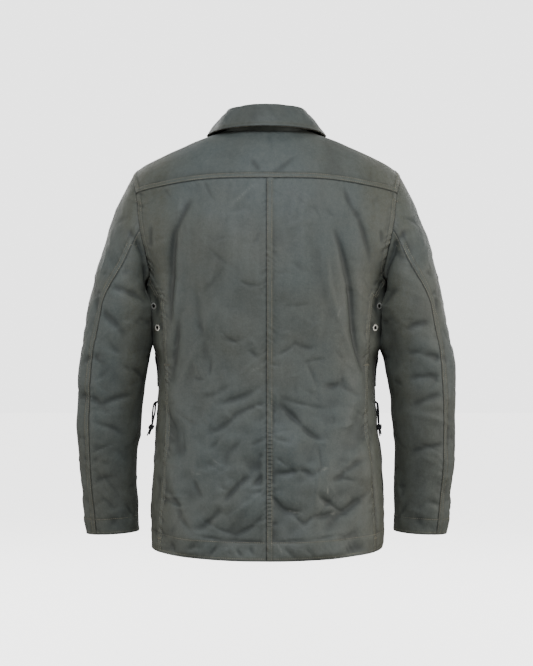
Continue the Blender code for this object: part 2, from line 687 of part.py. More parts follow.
# ---------------------------------------------------------------- sleeves
def make_sleeve(side, label):
    """The top and under sleeve of one arm, which meet at two seams."""
    step = np.linspace(1, 2, SLEEVE_LOWER_STEPS + 1)
    down = np.concatenate([SLEEVE_HEAD_STEPS, step])
    around = sorted(set(a % 360 for a in
                        SIDE_ARM_ANGLES + BACK_ARM_ANGLES + YOKE_ARM_ANGLES + FRONT_ARM_ANGLES))
    around = np.array(around, float)
    for piece in ("top", "under"):
        first, last = FRONT_SEAM_ANGLES, BACK_SEAM_ANGLES
        if piece == "under":
            first, last = BACK_SEAM_ANGLES, tuple(a + 360 for a in FRONT_SEAM_ANGLES)
        hole = np.concatenate([around - 360, around, around + 360])
        hole = hole[(hole >= first[0]) & (hole <= last[0])]
        share = (hole - first[0]) / (last[0] - first[0])
        grid_down, grid_hole = np.meshgrid(down, hole, indexing="ij")
        ring = blend(seam_angle(first, grid_down), seam_angle(last, grid_down), share[None, :])
        outer = sleeve_form(grid_down, grid_hole, ring)
        along = sleeve_form(grid_down + 1e-3, grid_hole, ring) - outer
        spin = sleeve_form(grid_down, grid_hole + 0.5, ring + 0.5)
        out = unit(np.cross(spin - outer, along))
        turn, height = armhole(hole)
        body_out = facing(torso, turn, height)
        step_turn, step_height = armhole(hole + 0.5)
        tangent = unit(torso(step_turn, step_height) - torso(turn, height))
        into = np.cross(tangent, body_out)
        outward_check = np.sign(np.sum((outer[3] - outer[3].mean(0)) * out[3], -1).mean())
        out = out * outward_check
        inner = outer - out * WALL
        centre = torso(*armhole(np.array([0.0, 90.0, 180.0, 270.0]))).mean(0)
        into *= np.sign(np.sum(into * (centre - outer[0]), -1, keepdims=True))
        inner[0] = outer[0] - body_out * WALL
        mask = np.ones((outer.shape[0] - 1, outer.shape[1] - 1), bool)
        pull = seam_pull(outer, mask) * SEAM_GAP / 2
        across = unit(np.gradient(outer[0], axis=0))
        sideways = across * np.sum(pull[0] * across, -1, keepdims=True)
        pull[0] = into * SEAM_GAP / 2 + sideways
        outer, inner = outer + pull, inner + pull
        if side < 0:
            outer, inner = mirrored(outer), mirrored(inner)
        name = "sleeve_" + piece + "_" + label
        add_object(name, wall_mesh(name, outer, inner), "waxed_cotton")


# ---------------------------------------------------------------- collar
def neck_columns(yoke_turns):
    """The turns of the neck seam's points, from the right front round to the left."""
    turns = np.concatenate([yoke_turns, np.array(NECK_FRONT_TURNS, float)[1:-1]])
    turns = np.append(turns, COLLAR_END_TURN)
    return np.concatenate([-turns[:0:-1], turns])


def make_collar(yoke_turns):
    turns = neck_columns(yoke_turns)
    base = torso(np.radians(turns), neck_height(turns))
    out = unit((base - (0, MIDDLE_Y, 0)) * (1, 1, 0))
    size = np.abs(turns)
    fold_out = read(COLLAR, FOLD_OUT, size)
    fold_height = read(COLLAR, FOLD_HEIGHT, size)
    edge_out = read(COLLAR, EDGE_OUT, size)
    edge_height = read(COLLAR, EDGE_HEIGHT, size)
    level = base * (1, 1, 0)

    def place(outward, height):
        point = level + out * np.asarray(outward)[..., None]
        point[..., 2] = height
        return point

    foot = base[:, 2] + SEAM_GAP
    top = fold_height - STAND_BELOW_FOLD
    rows = []
    for share in (0.0, 0.5, 1.0):
        rows.append(place(blend(0, fold_out + COLLAR_WALL, share), blend(foot, top, share)))
    outer = np.stack(rows)
    inner = outer - out[None] * COLLAR_WALL
    add_object("collar_stand", wall_mesh("collar_stand", outer, inner), "waxed_cotton")

    section = [(fold_out + o, fold_height + d) for o, d in FOLD_SECTION]
    start_out, start_height = section[-1]
    for share in FALL_STEPS:
        bow = FALL_BOW * math.sin(math.pi * share)
        section.append((blend(start_out, edge_out, share) + bow,
                        blend(start_height, edge_height, share) + bow))
    outs = np.stack([o + 0 * size for o, h in section])
    ups = np.stack([h + 0 * size for o, h in section])
    run_out, run_up = np.gradient(outs, axis=0), np.gradient(ups, axis=0)
    length = np.hypot(run_out, run_up)
    outer = np.stack([place(outs[k], ups[k]) for k in range(len(outs))])
    inner_outs = outs + run_up / length * COLLAR_WALL
    inner_ups = ups - run_out / length * COLLAR_WALL
    inner = np.stack([place(inner_outs[k], inner_ups[k]) for k in range(len(outs))])
    add_object("collar_fall", wall_mesh("collar_fall", outer, inner), "waxed_cotton")


# ---------------------------------------------------------------- what lies on the fronts
def grid_facing(points):
    """The outward direction at each point of a front's grid."""
    out = unit(np.cross(np.gradient(points, axis=0), np.gradient(points, axis=1)))
    return out * np.sign(np.sum(out * points * (1, 1, 0), -1, keepdims=True))


def lay_on(name, panel, rows, columns, lift):
    """A piece of cloth on a front; lift is how far its inner face stands off each point."""
    region = (slice(rows[0], rows[1] + 1), slice(columns[0], columns[1] + 1))
    out = grid_facing(panel)[region]
    inner = panel[region] + out * lift[..., None]
    add_object(name, wall_mesh(name, inner + out * WALL, inner), "waxed_cotton")


def make_pocket(label, panel):
    """A bellows pocket, closed round its edges, with a flap over its mouth."""
    rows = POCKET_ROWS[1] - POCKET_ROWS[0] + 1
    columns = POCKET_COLUMNS[1] - POCKET_COLUMNS[0] + 1
    up = np.sin(np.pi * np.linspace(0, 1, rows))[:, None]
    across = np.sin(np.pi * np.linspace(0, 1, columns))[None, :]
    rise = POCKET_CORNER * across * blend(POCKET_EDGE_SHARE, 1, up)
    lift = LAY_GAP + POCKET_STAND_OFF * np.minimum(1, rise)
    lay_on("pocket_" + label, panel, POCKET_ROWS, POCKET_COLUMNS, lift)
    over_pocket = lift[FLAP_ROWS[0] - POCKET_ROWS[0]:] + WALL + LAY_GAP
    flap_lift = np.concatenate([over_pocket, np.full((1, columns), LAY_GAP)])
    lay_on("flap_" + label, panel, FLAP_ROWS, POCKET_COLUMNS, flap_lift)


def make_placket(left, right):
    """The storm placket over the centre front, joined from both fronts' points."""
    left_out, right_out = grid_facing(left), grid_facing(right)
    middle = (left[:, -1] + right[:, -1]) / 2
    middle_out = unit(left_out[:, -1] + right_out[:, -1])
    inner = np.stack([left[:, -2], middle, right[:, -2]], 1)
    out = np.stack([left_out[:, -2], middle_out, right_out[:, -2]], 1)
    inner[-1] = blend(inner[-2], inner[-1], PLACKET_TOP_SHARE)
    out[-1] = out[-2]
    inner = inner + out * PLACKET_LIFT
    outer = inner + out * WALL
    add_object("placket", wall_mesh("placket", outer, inner, crossed=(1,)), "waxed_cotton")
    return outer[:, 1], out[:, 1]


def turned(name, profile, steps, place, direction, material):
    """A piece turned from a closed profile of (radius, height) about a direction."""
    across = unit(np.cross(direction, (0.0, 0.0, 1.0)))
    beside = np.cross(direction, across)
    form = bmesh.new()
    rings = []
    for radius, rise in profile:
        angles = [2 * math.pi * k / steps for k in range(steps)]
        if radius == 0:
            rings.append([form.verts.new(place + direction * rise)] * steps)
            continue
        rings.append([form.verts.new(place + direction * rise
                                     + (across * math.cos(a) + beside * math.sin(a)) * radius)
                      for a in angles])
    closed = profile[0][0] > 0
    count = len(rings)
    for k in range(count if closed else count - 1):
        low, high = rings[k], rings[(k + 1) % count]
        for s in range(steps):
            corners = (low[s], low[(s + 1) % steps], high[(s + 1) % steps], high[s])
            corners = tuple(dict.fromkeys(corners))
            form.faces.new(corners)
    bmesh.ops.recalc_face_normals(form, faces=form.faces)
    mesh = bpy.data.meshes.new(name)
    form.to_mesh(mesh)
    form.free()
    return add_object(name, mesh, material)


def make_studs(line, out):
    """Press studs down the placket."""
    profile = ((0, 0), (STUD_RADIUS, 0), (STUD_RADIUS, STUD_HEIGHT * 0.5),
               (STUD_RADIUS * 0.75, STUD_HEIGHT), (0, STUD_HEIGHT))
    for k in range(STUD_COUNT):
        height = STUD_TOP - STUD_STEP * k
        place = np.array([np.interp(height, line[:, 2], line[:, axis]) for axis in range(3)])
        direction = unit(np.array([np.interp(height, line[:, 2], out[:, axis])
                                   for axis in range(3)]) * (0, 1, 1))
        place = place + direction * STUD_LIFT
        turned("stud_" + str(k + 1), profile, 14, place, direction, "nickel")


def cut_hole(panel, name, place, direction):
    """A round hole through a front, where an eyelet is set."""
    reach = 4 * WALL
    profile = ((0, -reach), (EYELET_HOLE, -reach), (EYELET_HOLE, reach), (0, reach))
    cutter = turned(name, profile, 12, place, direction, "waxed_cotton")
    cutter.hide_render = True
    cutter.display_type = "WIRE"
    cut = bpy.data.objects[panel].modifiers.new(name, "BOOLEAN")
    cut.operation = "DIFFERENCE"
    cut.solver = "EXACT"
    cut.object = cutter


def seat_height(panel, place, direction, radius):
    """How far out along a direction a flat ring comes to rest on a panel."""
    mesh = bpy.data.objects[panel].data
    surface = BVHTree.FromPolygons([corner.co for corner in mesh.vertices],
                                   [face.vertices for face in mesh.polygons])
    across = unit(np.cross(direction, (0.0, 0.0, 1.0)))
    beside = np.cross(direction, across)
    tops = []
    for k in range(16):
        angle = 2 * math.pi * k / 16
        aside = across * math.cos(angle) + beside * math.sin(angle)
        for reach in (0.5 * radius, radius):
            start = place + aside * reach + direction * radius
            hit = surface.ray_cast(Vector(start), Vector(-direction))[0]
            tops.append(float(np.dot(np.array(hit) - place, direction)))
    return max(tops)


def make_eyelets(side, label):
    """Metal eyelets in a front near the side seam; returns the place of the cord's."""
    profile = ((EYELET_HOLE, 0.0), (EYELET_OUTER, 0.0),
               (EYELET_OUTER - 0.0006, EYELET_TUBE * 0.8), (EYELET_OUTER - 0.0016, EYELET_TUBE),
               (EYELET_HOLE + 0.0005, EYELET_TUBE * 0.9))
    place = None
    for name, turn_degrees, height in EYELETS:
        turn = np.array(side * math.radians(turn_degrees))
        direction = facing(torso, turn, np.array(height))
        cloth = torso(turn, np.array(height))
        panel = "front_" + label
        cut_hole(panel, "cutter_" + name + "_" + label, cloth, direction)
        seat = seat_height(panel, cloth, direction, EYELET_OUTER)
        place = cloth + direction * (seat + EYELET_LIFT)
        turned(name + "_" + label, profile, 16, place, direction, "nickel")
    return place


# ---------------------------------------------------------------- the waist cord
def smooth_route(points, spacing):
    """Points at an even spacing along a smooth curve through a route."""
    points = np.array(points, float)
    keys = np.cumsum(np.r_[0, np.linalg.norm(np.diff(points, axis=0), axis=1)])
    count = max(4, round(keys[-1] / spacing) + 1)
    at = np.linspace(0, keys[-1], count)
    table = np.column_stack([keys, points])
    return np.stack([read(table, axis, at) for axis in (1, 2, 3)], 1)


def make_cord(name, points, diameter):
    curve = bpy.data.curves.new(name, "CURVE")
    curve.dimensions = "3D"
    curve.bevel_depth = diameter / 2
    curve.bevel_resolution = 2
    curve.use_fill_caps = True
    line = curve.splines.new("POLY")
    line.points.add(len(points) - 1)
    for point, place in zip(line.points, points):
        point.co = (*place, 1.0)
    cord = bpy.data.objects.new(name, curve)
    cord.data.materials.append(bpy.data.materials["black_cord"])
    bpy.context.scene.collection.objects.link(cord)


def hung_out(route, side, label):
    """A route of the left cord's as it hangs at one side."""
    route = np.array(route, float)
    past = np.maximum(route[..., 0] - CORD_OUT_FREE, 0)
    route[..., 0] = side * (route[..., 0] - past * (1 - CORD_OUT[label]))
    return route


def make_waist_cord(side, label, eyelet):
    """Two legs of cord from the eyelet to a knot, and the knot with its tail."""
    middle = eyelet + hung_out(KNOT_MIDDLE, side, label)
    end = eyelet + hung_out(TAIL_END, side, label)
    axis = unit(end - middle)
    half = KNOT_LENGTH / 2
    for leg, route in (("a", CORD_LEG_BACK), ("b", CORD_LEG_FRONT)):
        points = eyelet + hung_out(route, side, label)
        arrival = middle - axis * (half + SEAM_GAP) + (0, route[0][1], 0)
        points = np.concatenate([points, [arrival - axis * CORD_SPACING * 0.8, arrival]])
        make_cord("cord_" + label + "_" + leg, smooth_route(points, CORD_SPACING), CORD_DIAMETER)
    length = float(np.linalg.norm(end - middle))
    profile = ((0, -half), (KNOT_FACE, -half), (KNOT_RADIUS, -half * 0.45),
               (KNOT_RADIUS, half * 0.35), (KNOT_RADIUS * 0.7, half * 0.9),
               (TAIL_RADIUS, half * 1.15), (TAIL_RADIUS, length), (0, length))
    turned("knot_" + label, profile, 10, middle, axis, "black_cord")


# ---------------------------------------------------------------- the whole jacket
def main():
    for thing in list(bpy.data.objects):
        bpy.data.objects.remove(thing, do_unlink=True)
    for name, (colour, roughness, metallic) in MATERIALS.items():
        material = bpy.data.materials.new(name)
        material.use_nodes = True
        shader = material.node_tree.nodes["Principled BSDF"]
        shader.inputs["Base Color"].default_value = (*colour, 1.0)
        shader.inputs["Roughness"].default_value = roughness
        shader.inputs["Metallic"].default_value = metallic

    make_back("back_left", 1)
    make_back("back_right", -1)
    yoke_turns = make_yoke()
    left = make_front("front_left", 1)
    right = make_front("front_right", -1)
    make_sleeve(1, "left")
    make_sleeve(-1, "right")
    make_collar(yoke_turns)
    for label, side, panel in (("left", 1, left), ("right", -1, right)):
        make_pocket(label, panel)
        eyelet = make_eyelets(side, label)
        make_waist_cord(side, label, eyelet)
    line, out = make_placket(left, right)
    make_studs(line, out)


main()
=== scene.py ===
"""A waxed cotton jacket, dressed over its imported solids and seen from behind.

Metres, +Z up. The front faces -Y and the wearer's left is +X. Each panel of cloth is a
shell on the same torso or sleeve form that its solid was cut from, with its creases,
felled seams and stitches.
"""
import math

import bmesh
import bpy
import numpy as np
from mathutils import Matrix, Vector


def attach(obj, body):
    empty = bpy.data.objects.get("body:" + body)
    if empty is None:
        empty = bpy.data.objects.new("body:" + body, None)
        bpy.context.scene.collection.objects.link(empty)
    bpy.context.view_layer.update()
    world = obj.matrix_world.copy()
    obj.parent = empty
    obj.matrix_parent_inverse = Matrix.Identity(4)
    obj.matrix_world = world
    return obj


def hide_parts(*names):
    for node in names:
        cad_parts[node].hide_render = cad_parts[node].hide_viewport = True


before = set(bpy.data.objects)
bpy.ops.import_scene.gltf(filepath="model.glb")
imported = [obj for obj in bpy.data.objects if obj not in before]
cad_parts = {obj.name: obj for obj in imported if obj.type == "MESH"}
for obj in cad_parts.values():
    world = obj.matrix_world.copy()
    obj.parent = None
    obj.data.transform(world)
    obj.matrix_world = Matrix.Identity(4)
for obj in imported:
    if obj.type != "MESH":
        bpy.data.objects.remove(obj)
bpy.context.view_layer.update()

# ---------------------------------------------------------------- camera
CAMERA_DISTANCE = 3.0
CAMERA_HEIGHT = -0.3435
FOCAL_PIXELS = 1685        # focal length over the height of one pixel
FRAME_HEIGHT = 666
SENSOR = 36


def add_camera():
    data = bpy.data.cameras.new("camera")
    data.sensor_fit = "VERTICAL"
    data.sensor_height = SENSOR
    data.lens = SENSOR * FOCAL_PIXELS / FRAME_HEIGHT
    camera = bpy.data.objects.new("camera", data)
    camera.location = (0, CAMERA_DISTANCE, CAMERA_HEIGHT)
    camera.rotation_euler = (math.pi / 2, 0, math.pi)
    bpy.context.scene.collection.objects.link(camera)
    bpy.context.scene.camera = camera


add_camera()

# ---------------------------------------------------------------- the forms' sizes
MIDDLE_Y = -0.008
HALF_WIDTH, BACK_DEPTH, FRONT_DEPTH, SQUARENESS = range(1, 5)
TORSO = (
    (-0.760, 0.2030, 0.1560, 0.1380, 2.35),
    (-0.690, 0.2060, 0.1545, 0.1360, 2.35),
    (-0.620, 0.2035, 0.1520, 0.1330, 2.35),
    (-0.550, 0.1985, 0.1490, 0.1300, 2.35),
    (-0.463, 0.1935, 0.1450, 0.1260, 2.30),
    (-0.427, 0.1920, 0.1440, 0.1245, 2.30),
    (-0.380, 0.1965, 0.1450, 0.1245, 2.30),
    (-0.340, 0.2060, 0.1485, 0.1270, 2.25),
    (-0.300, 0.2115, 0.1520, 0.1295, 2.20),
    (-0.265, 0.2130, 0.1550, 0.1300, 2.20),
    (-0.243, 0.2165, 0.1555, 0.1300, 2.20),
    (-0.2165, 0.2300, 0.1550, 0.1285, 2.20),
    (-0.182, 0.2475, 0.1530, 0.1245, 2.20),
    (-0.138, 0.2555, 0.1480, 0.1170, 2.20),
    (-0.110, 0.2520, 0.1430, 0.1105, 2.15),
    (-0.080, 0.2447, 0.1350, 0.1005, 2.10),
    (-0.060, 0.2345, 0.1270, 0.0910, 2.05),
    (-0.046, 0.2170, 0.1195, 0.0835, 2.00),
    (-0.0356, 0.1976, 0.1135, 0.0770, 2.00),
    (-0.025, 0.1753, 0.1070, 0.0710, 2.00),
    (-0.014, 0.1500, 0.1000, 0.0650, 2.00),
    (-0.0035, 0.1270, 0.0925, 0.0600, 2.00),
    (0.004, 0.1060, 0.0865, 0.0560, 2.00),
    (0.014, 0.0780, 0.0780, 0.0510, 2.00),
    (0.028, 0.0500, 0.0660, 0.0430, 2.00),
)
HEM_HEIGHT = -0.7226
HEM_DROP_BACK = 0.0085
HEM_DROP_FRONT = 0.0040
NECK_SEAM = ((0, 0.0060), (45, 0.0100), (90, 0.0145), (118, 0.0100), (136, 0.0010),
             (156, -0.0230), (170, -0.0440), (180, -0.0500))
YOKE_SEAM = ((0, -0.0784), (25, -0.0800), (45, -0.0895))
SIDE_SEAM = ((-0.740, 0.1900), (-0.660, 0.1870), (-0.600, 0.1815), (-0.540, 0.1785),
             (-0.460, 0.1755), (-0.400, 0.1775), (-0.340, 0.1795), (-0.290, 0.1840))
ARMHOLE = ((0, 0.000, -0.060), (30, 0.038, -0.080), (60, 0.063, -0.114),
           (90, 0.075, -0.155), (120, 0.072, -0.204), (145, 0.052, -0.243),
           (180, 0.004, -0.251), (210, -0.037, -0.239), (240, -0.061, -0.205),
           (270, -0.069, -0.158), (300, -0.060, -0.112), (330, -0.037, -0.079))
SIDE_ANGLE = 145
YOKE_BACK_ANGLE = 48
YOKE_FRONT_ANGLE = 335
NOTCH_ANGLE = 225
YOKE_NECK_TURN = 118
SLEEVE = (
    (-0.300, 0.2523, 0.018, 0.0623, 0.0700),
    (-0.340, 0.2593, 0.014, 0.0633, 0.0685),
    (-0.374, 0.2683, 0.010, 0.0618, 0.0670),
    (-0.420, 0.2737, 0.004, 0.0605, 0.0645),
    (-0.463, 0.2781, -0.002, 0.0583, 0.0620),
    (-0.534, 0.2823, -0.013, 0.0545, 0.0585),
    (-0.605, 0.2826, -0.028, 0.0517, 0.0550),
    (-0.676, 0.2787, -0.043, 0.0492, 0.0510),
    (-0.705, 0.2777, -0.049, 0.0479, 0.0490),
)
BICEPS_HEIGHT = -0.300
CUFF_HEIGHT = -0.705
CUFF_RISE = 0.005
HEAD_RUN = (0.116, 0.0, -0.200)
HEAD_REACH = 0.050
HEAD_ARRIVAL = (0.15, -0.10, -1.0)
ARM_CLEAR = 0.0015
ARM_SOFT = 0.0030
ARMPIT_HEIGHT = -0.236
BACK_SEAM_ANGLES = (95, 56, 58)
FRONT_SEAM_ANGLES = (-115, -122, -125)
HEM_TURNS = (64, 70, 76, 83, 91, 98, 106, 114, 121, 128, 135, 142, 149, 156, 163.5, 171.3, 180)
CHEST_TURNS = (116, 124, 131, 137.5, 143.5, 149, 154.5, 160, 166, 172.8, 180)
CHEST_HEIGHT = -0.247
NECK_FRONT_TURNS = (118, 127, 136, 145, 154, 163, 172, 180)
SIDE_HEIGHTS = (-0.7226, -0.694, -0.660, -0.622, -0.584, -0.546, -0.510, -0.484, -0.456,
                -0.427, -0.398, -0.368, -0.340, -0.312, -0.286, -0.264)
NOTCH_COLUMNS, SEAM_COLUMNS, NECK_COLUMNS = 5, 4, 7

WALL = 0.0017              # the cloth and what backs it
GRAIN = 0.0034             # how far apart the points of the cloth lie


# ---------------------------------------------------------------- reading the tables
def read(table, column, key):
    """A smooth curve through one column of a table, read at each key."""
    keys = np.array([row[0] for row in table], float)
    values = np.array([row[column] for row in table], float)
    slopes = np.gradient(values, keys)
    key = np.clip(key, keys[0], keys[-1])
    low = np.clip(np.searchsorted(keys, key, side="right") - 1, 0, len(keys) - 2)
    step = keys[low + 1] - keys[low]
    u = (key - keys[low]) / step
    rise = values[low + 1] - values[low]
    start, end = slopes[low] * step, slopes[low + 1] * step
    return values[low] + u * start + u * u * (3 * rise - 2 * start - end) \
        + u ** 3 * (start + end - 2 * rise)


def blend(start, end, share):
    return start + (end - start) * share


def ease(share):
    share = np.clip(share, 0, 1)
    return share * share * (3 - 2 * share)


def unit(vectors):
    length = np.linalg.norm(vectors, axis=-1, keepdims=True)
    return vectors / np.maximum(length, 1e-12)


def dot(a, b):
    return (a * b).sum(-1)


def distance_along(line):
    """How far along a line each of its points lies."""
    return np.concatenate([[0], np.cumsum(np.linalg.norm(np.diff(line, axis=0), axis=1))])


def placed_along(at, along, line):
    """The points of a line at some distances along it."""
    return np.stack([np.interp(at, along, line[:, axis]) for axis in range(3)], 1)


def spread(length, step=GRAIN, fine=(0.0009, 0.0020, 0.0036, 0.0060)):
    """Shares of a length at an even step, closer together at both ends."""
    ends = np.array([0.0] + [f for f in fine if f < length / 3])
    inner = np.linspace(ends[-1], length - ends[-1],
                        max(2, round((length - 2 * ends[-1]) / step) + 1))
    return np.concatenate([ends[:-1], inner, length - ends[-2::-1]]) / length


# ---------------------------------------------------------------- the torso form
def torso_depth(behind, height):
    return np.where(behind, read(TORSO, BACK_DEPTH, height), read(TORSO, FRONT_DEPTH, height))


def torso_form(turn, height):
    """The torso without creases; turn goes from the centre back to the wearer's left."""
    width = read(TORSO, HALF_WIDTH, height)
    square = read(TORSO, SQUARENESS, height)
    side, back = np.sin(turn), np.cos(turn)
    depth = torso_depth(back > 0, height)
    reach = (np.abs(side) ** square + np.abs(back) ** square) ** (-1 / square)
    return np.stack([width * reach * side, MIDDLE_Y + depth * reach * back, height], -1)


def turn_at(y, height):
    """The turn at which the torso lies as far forward or back as y."""
    depth = torso_depth(y > MIDDLE_Y, height)
    square = read(TORSO, SQUARENESS, height)
    back = np.clip((y - MIDDLE_Y) / depth, -1, 1)
    return np.arctan2((1 - np.abs(back) ** square) ** (1 / square), back)


def armhole(angle):
    """The turn and height of the armhole's edge, left side."""
    rows = [(row[0] - 360,) + row[1:] for row in ARMHOLE[-3:]]
    rows += list(ARMHOLE)
    rows += [(row[0] + 360,) + row[1:] for row in ARMHOLE[:3]]
    angle = (np.asarray(angle, float) + 40) % 360 - 40
    height = read(rows, 2, angle)
    y = read(rows, 1, angle) + MIDDLE_Y * np.clip(np.cos(np.radians(angle)), 0, 1) ** 8
    return turn_at(y, height), height


def turn_of_side_seam(height):
    """The side seam's turn, which swings to the armhole's corner at its top."""
    corner_turn, corner_height = armhole(SIDE_ANGLE)
    square = read(TORSO, SQUARENESS, height)
    share = read(SIDE_SEAM, 1, height) / read(TORSO, HALF_WIDTH, height)
    low = np.arctan2(share, (1 - share ** square) ** (1 / square))
    start = SIDE_SEAM[-1][0]
    return blend(low, corner_turn, ease((height - start) / (corner_height - start)))


def torso_side(y, height):
    """How far to the side the torso reaches."""
    depth = torso_depth(y > MIDDLE_Y, height)
    square = read(TORSO, SQUARENESS, height)
    back = np.clip(np.abs((y - MIDDLE_Y) / depth), 0, 1)
    return read(TORSO, HALF_WIDTH, height) * (1 - back ** square) ** (1 / square)


def hem_height(turn):
    back = np.cos(turn)
    drop = np.where(back > 0, HEM_DROP_BACK, HEM_DROP_FRONT)
    return HEM_HEIGHT - drop * back ** 2


def neck_height(turn_degrees):
    return read(NECK_SEAM, 1, np.abs(turn_degrees))


def yoke_height(turn):
    """The height of the yoke's seam across the back."""
    corner_turn, corner_height = armhole(YOKE_BACK_ANGLE)
    rows = YOKE_SEAM + ((math.degrees(corner_turn), float(corner_height)),)
    return read(rows, 1, np.degrees(np.abs(turn)))


# ---------------------------------------------------------------- the sleeve form
def sleeve_size(column, height):
    return read(SLEEVE[::-1], column, height)


def sleeve_ring(height, angle):
    """A place on the left sleeve below the armhole; 0 is outside, 90 is at the back."""
    radians = np.radians(angle)
    x = sleeve_size(1, height) + sleeve_size(3, height) * np.cos(radians)
    y = sleeve_size(2, height) + sleeve_size(4, height) * np.sin(radians)
    return np.stack([x, y, height + 0 * x], -1)


def seam_angle(angles, down):
    """A sleeve seam's angle, from those at the armhole, the biceps and the cuff."""
    upper = blend(angles[0], angles[1], ease(down))
    return np.where(down < 1, upper, blend(angles[1], angles[2], down - 1))


def sleeve_form(down, hole_angle, ring_angle):
    """The left sleeve: down is 0 at the armhole, 1 at the biceps and 2 at the cuff."""
    turn, height = armhole(hole_angle)
    edge = torso_form(turn, height)
    out = facing(torso_form, turn, height)
    bottom = sleeve_ring(np.full_like(turn, BICEPS_HEIGHT), ring_angle)
    drop = (height - BICEPS_HEIGHT)[..., None]
    top_share = ((1 + np.cos(np.radians(hole_angle))) / 2)[..., None]
    leave = top_share * np.array(HEAD_RUN) + (1 - top_share) * out * HEAD_REACH
    arrive = drop * np.array(HEAD_ARRIVAL)
    u = np.clip(down, 0, 1)[..., None]
    head = edge * (1 - 3 * u ** 2 + 2 * u ** 3) + leave * (u - 2 * u ** 2 + u ** 3) \
        + bottom * (3 * u ** 2 - 2 * u ** 3) + arrive * (u ** 3 - u ** 2)
    below = np.clip(down - 1, 0, 1)
    inward = (1 - np.cos(np.radians(ring_angle))) / 2
    ring_height = blend(BICEPS_HEIGHT, CUFF_HEIGHT, below) + CUFF_RISE * inward * below ** 2
    place = np.where((down < 1)[..., None], head, sleeve_ring(ring_height, ring_angle))
    beside = ease((ARMPIT_HEIGHT - place[..., 2]) / 0.016) * ease(down / 0.12)
    over = torso_side(place[..., 1], place[..., 2]) + ARM_CLEAR - place[..., 0]
    place[..., 0] += beside * (over + np.sqrt(over ** 2 + ARM_SOFT ** 2)) / 2
    return place


def facing(surface, first, second, step=2e-4):
    """The outward direction of a surface whose two places run across and up."""
    across = surface(first + step, second) - surface(first - step, second)
    up = surface(first, second + step) - surface(first, second - step)
    return unit(np.cross(up, across))


# ---------------------------------------------------------------- creases
# A crease: start and end (across and up, mm), how far its middle bows aside, half its
# width and its depth in mm, negative for a ridge.
BACK_CREASES = (
    (128, -112, 166, -236, 9, 6, 4.5), (158, -165, 164, -345, 4, 6.5, 6.5),
    (148, -300, 168, -432, 0, 6.5, 5.0), (137, -210, 162, -345, 3, 8, -3.0),
    (83, -285, 106, -350, 2, 6, -2.2), (106, -350, 166, -462, 4, 7, -3.0),
    (-115, -165, -151, -318, -5, 7, 6.5), (-143, -262, -164, -415, 2, 7, 7.5),
    (-131, -92, -158, -148, 2, 6, 2.6), (-152, -130, -180, -228, -3, 6, 3.6),
    (-98, -195, -130, -335, 6, 6, -2.6), (-130, -335, -168, -440, -3, 6, -2.4),
    (66, -133, 22, -90, 0, 5, -1.6), (28, -42, 10, -68, 0, 5, 1.8),
    (-56, -36, -12, -70, 0, 5, 1.8), (48, -254, 8, -262, 4, 4, 1.2),
    (76, -354, 36, -353, 3, 4, 1.2), (30, -372, 14, -386, 0, 4, 1.2),
    (108, -452, 66, -434, 2, 6, 2.2), (92, -466, 8, -434, 4, 7, 3.2),
    (92, -513, 52, -482, 3, 6, 2.6), (52, -482, 4, -463, -2, 5, 2.0),
    (76, -568, 46, -524, 0, 8, 2.0), (26, -534, -2, -521, 0, 4, 1.4),
    (12, -555, 1, -547, 0, 4, 1.6), (24, -604, 2, -584, 0, 4, 1.8),
    (121, -683, 76, -638, 3, 7, 4.2), (76, -638, 29, -585, -3, 6, 3.6),
    (126, -683, 146, -660, 0, 6, 3.2), (146, -660, 173, -616, 4, 6, 3.0),
    (129, -586, 108, -625, 2, 5, 1.8), (63, -658, 9, -618, 0, 5, -2.0),
    (53, -688, 4, -653, 2, 5, 2.4), (-19, -380, -48, -361, 2, 4, 1.3),
    (-48, -361, -82, -370, 2, 4, 1.3), (-103, -434, -126, -430, 2, 5, 2.4),
    (-126, -430, -165, -454, 2, 5, 2.2), (-22, -452, -108, -472, 3, 4, 1.5),
    (-28, -468, -61, -503, 0, 6, 3.4), (-61, -503, -92, -527, 2, 6, 3.0),
    (-14, -522, -42, -530, 0, 4, 1.4), (-18, -554, -36, -571, 0, 4, 1.8),
    (-14, -581, -57, -576, 2, 6, 3.2), (-57, -576, -77, -586, -2, 5, 2.6),
    (-77, -586, -91, -576, 0, 4, 1.6), (-111, -595, -135, -580, 3, 6, 3.0),
    (-135, -580, -171, -556, 0, 6, 2.6), (-86, -615, -117, -639, 3, 5, 2.4),
    (-9, -620, -28, -643, 0, 5, 2.6), (-28, -643, -57, -648, 2, 5, 2.4),
    (-47, -653, -64, -668, 0, 4, 2.0), (-64, -668, -78, -655, 0, 4, 2.0),
    (-78, -655, -115, -649, 3, 5, 2.4), (-112, -663, -176, -616, 3, 7, 3.6),
    (150, -110, 158, -200, -3, 7, -1.8), (100, -120, 112, -250, 4, 9, -1.6),
    (60, -150, 66, -300, -3, 10, -1.4), (-60, -120, -72, -260, 3, 9, -1.5),
    (-90, -300, -76, -400, -3, 8, -1.6), (120, -250, 96, -420, 4, 8, 1.6),
    (-30, -707, -49, -726, 0, 5, 2.4), (-120, -694, -150, -687, 2, 6, 2.0),
    (128, -689, 66, -696, -1, 2.2, 1.6), (66, -696, 6, -698, 0, 2.2, 1.6),
    (-12, -698, -72, -695, 0, 2.2, 1.6), (-72, -695, -128, -688, -1, 2.2, 1.5),
    (197, -158, 200, -194, 1, 3.4, 3.0), (-197, -166, -199, -190, -1, 3.4, 2.4),
    (52, -708, 40, -724, 1, 3, 1.5), (86, -706, 98, -721, -1, 3, 1.4),
    (66, -708, 60, -722, 0, 3, 1.3), (28, -706, 20, -722, 1, 3, 1.3),
    (-66, -706, -78, -722, 1, 3, 1.3), (118, -700, 130, -714, 0, 3, 1.3),
)
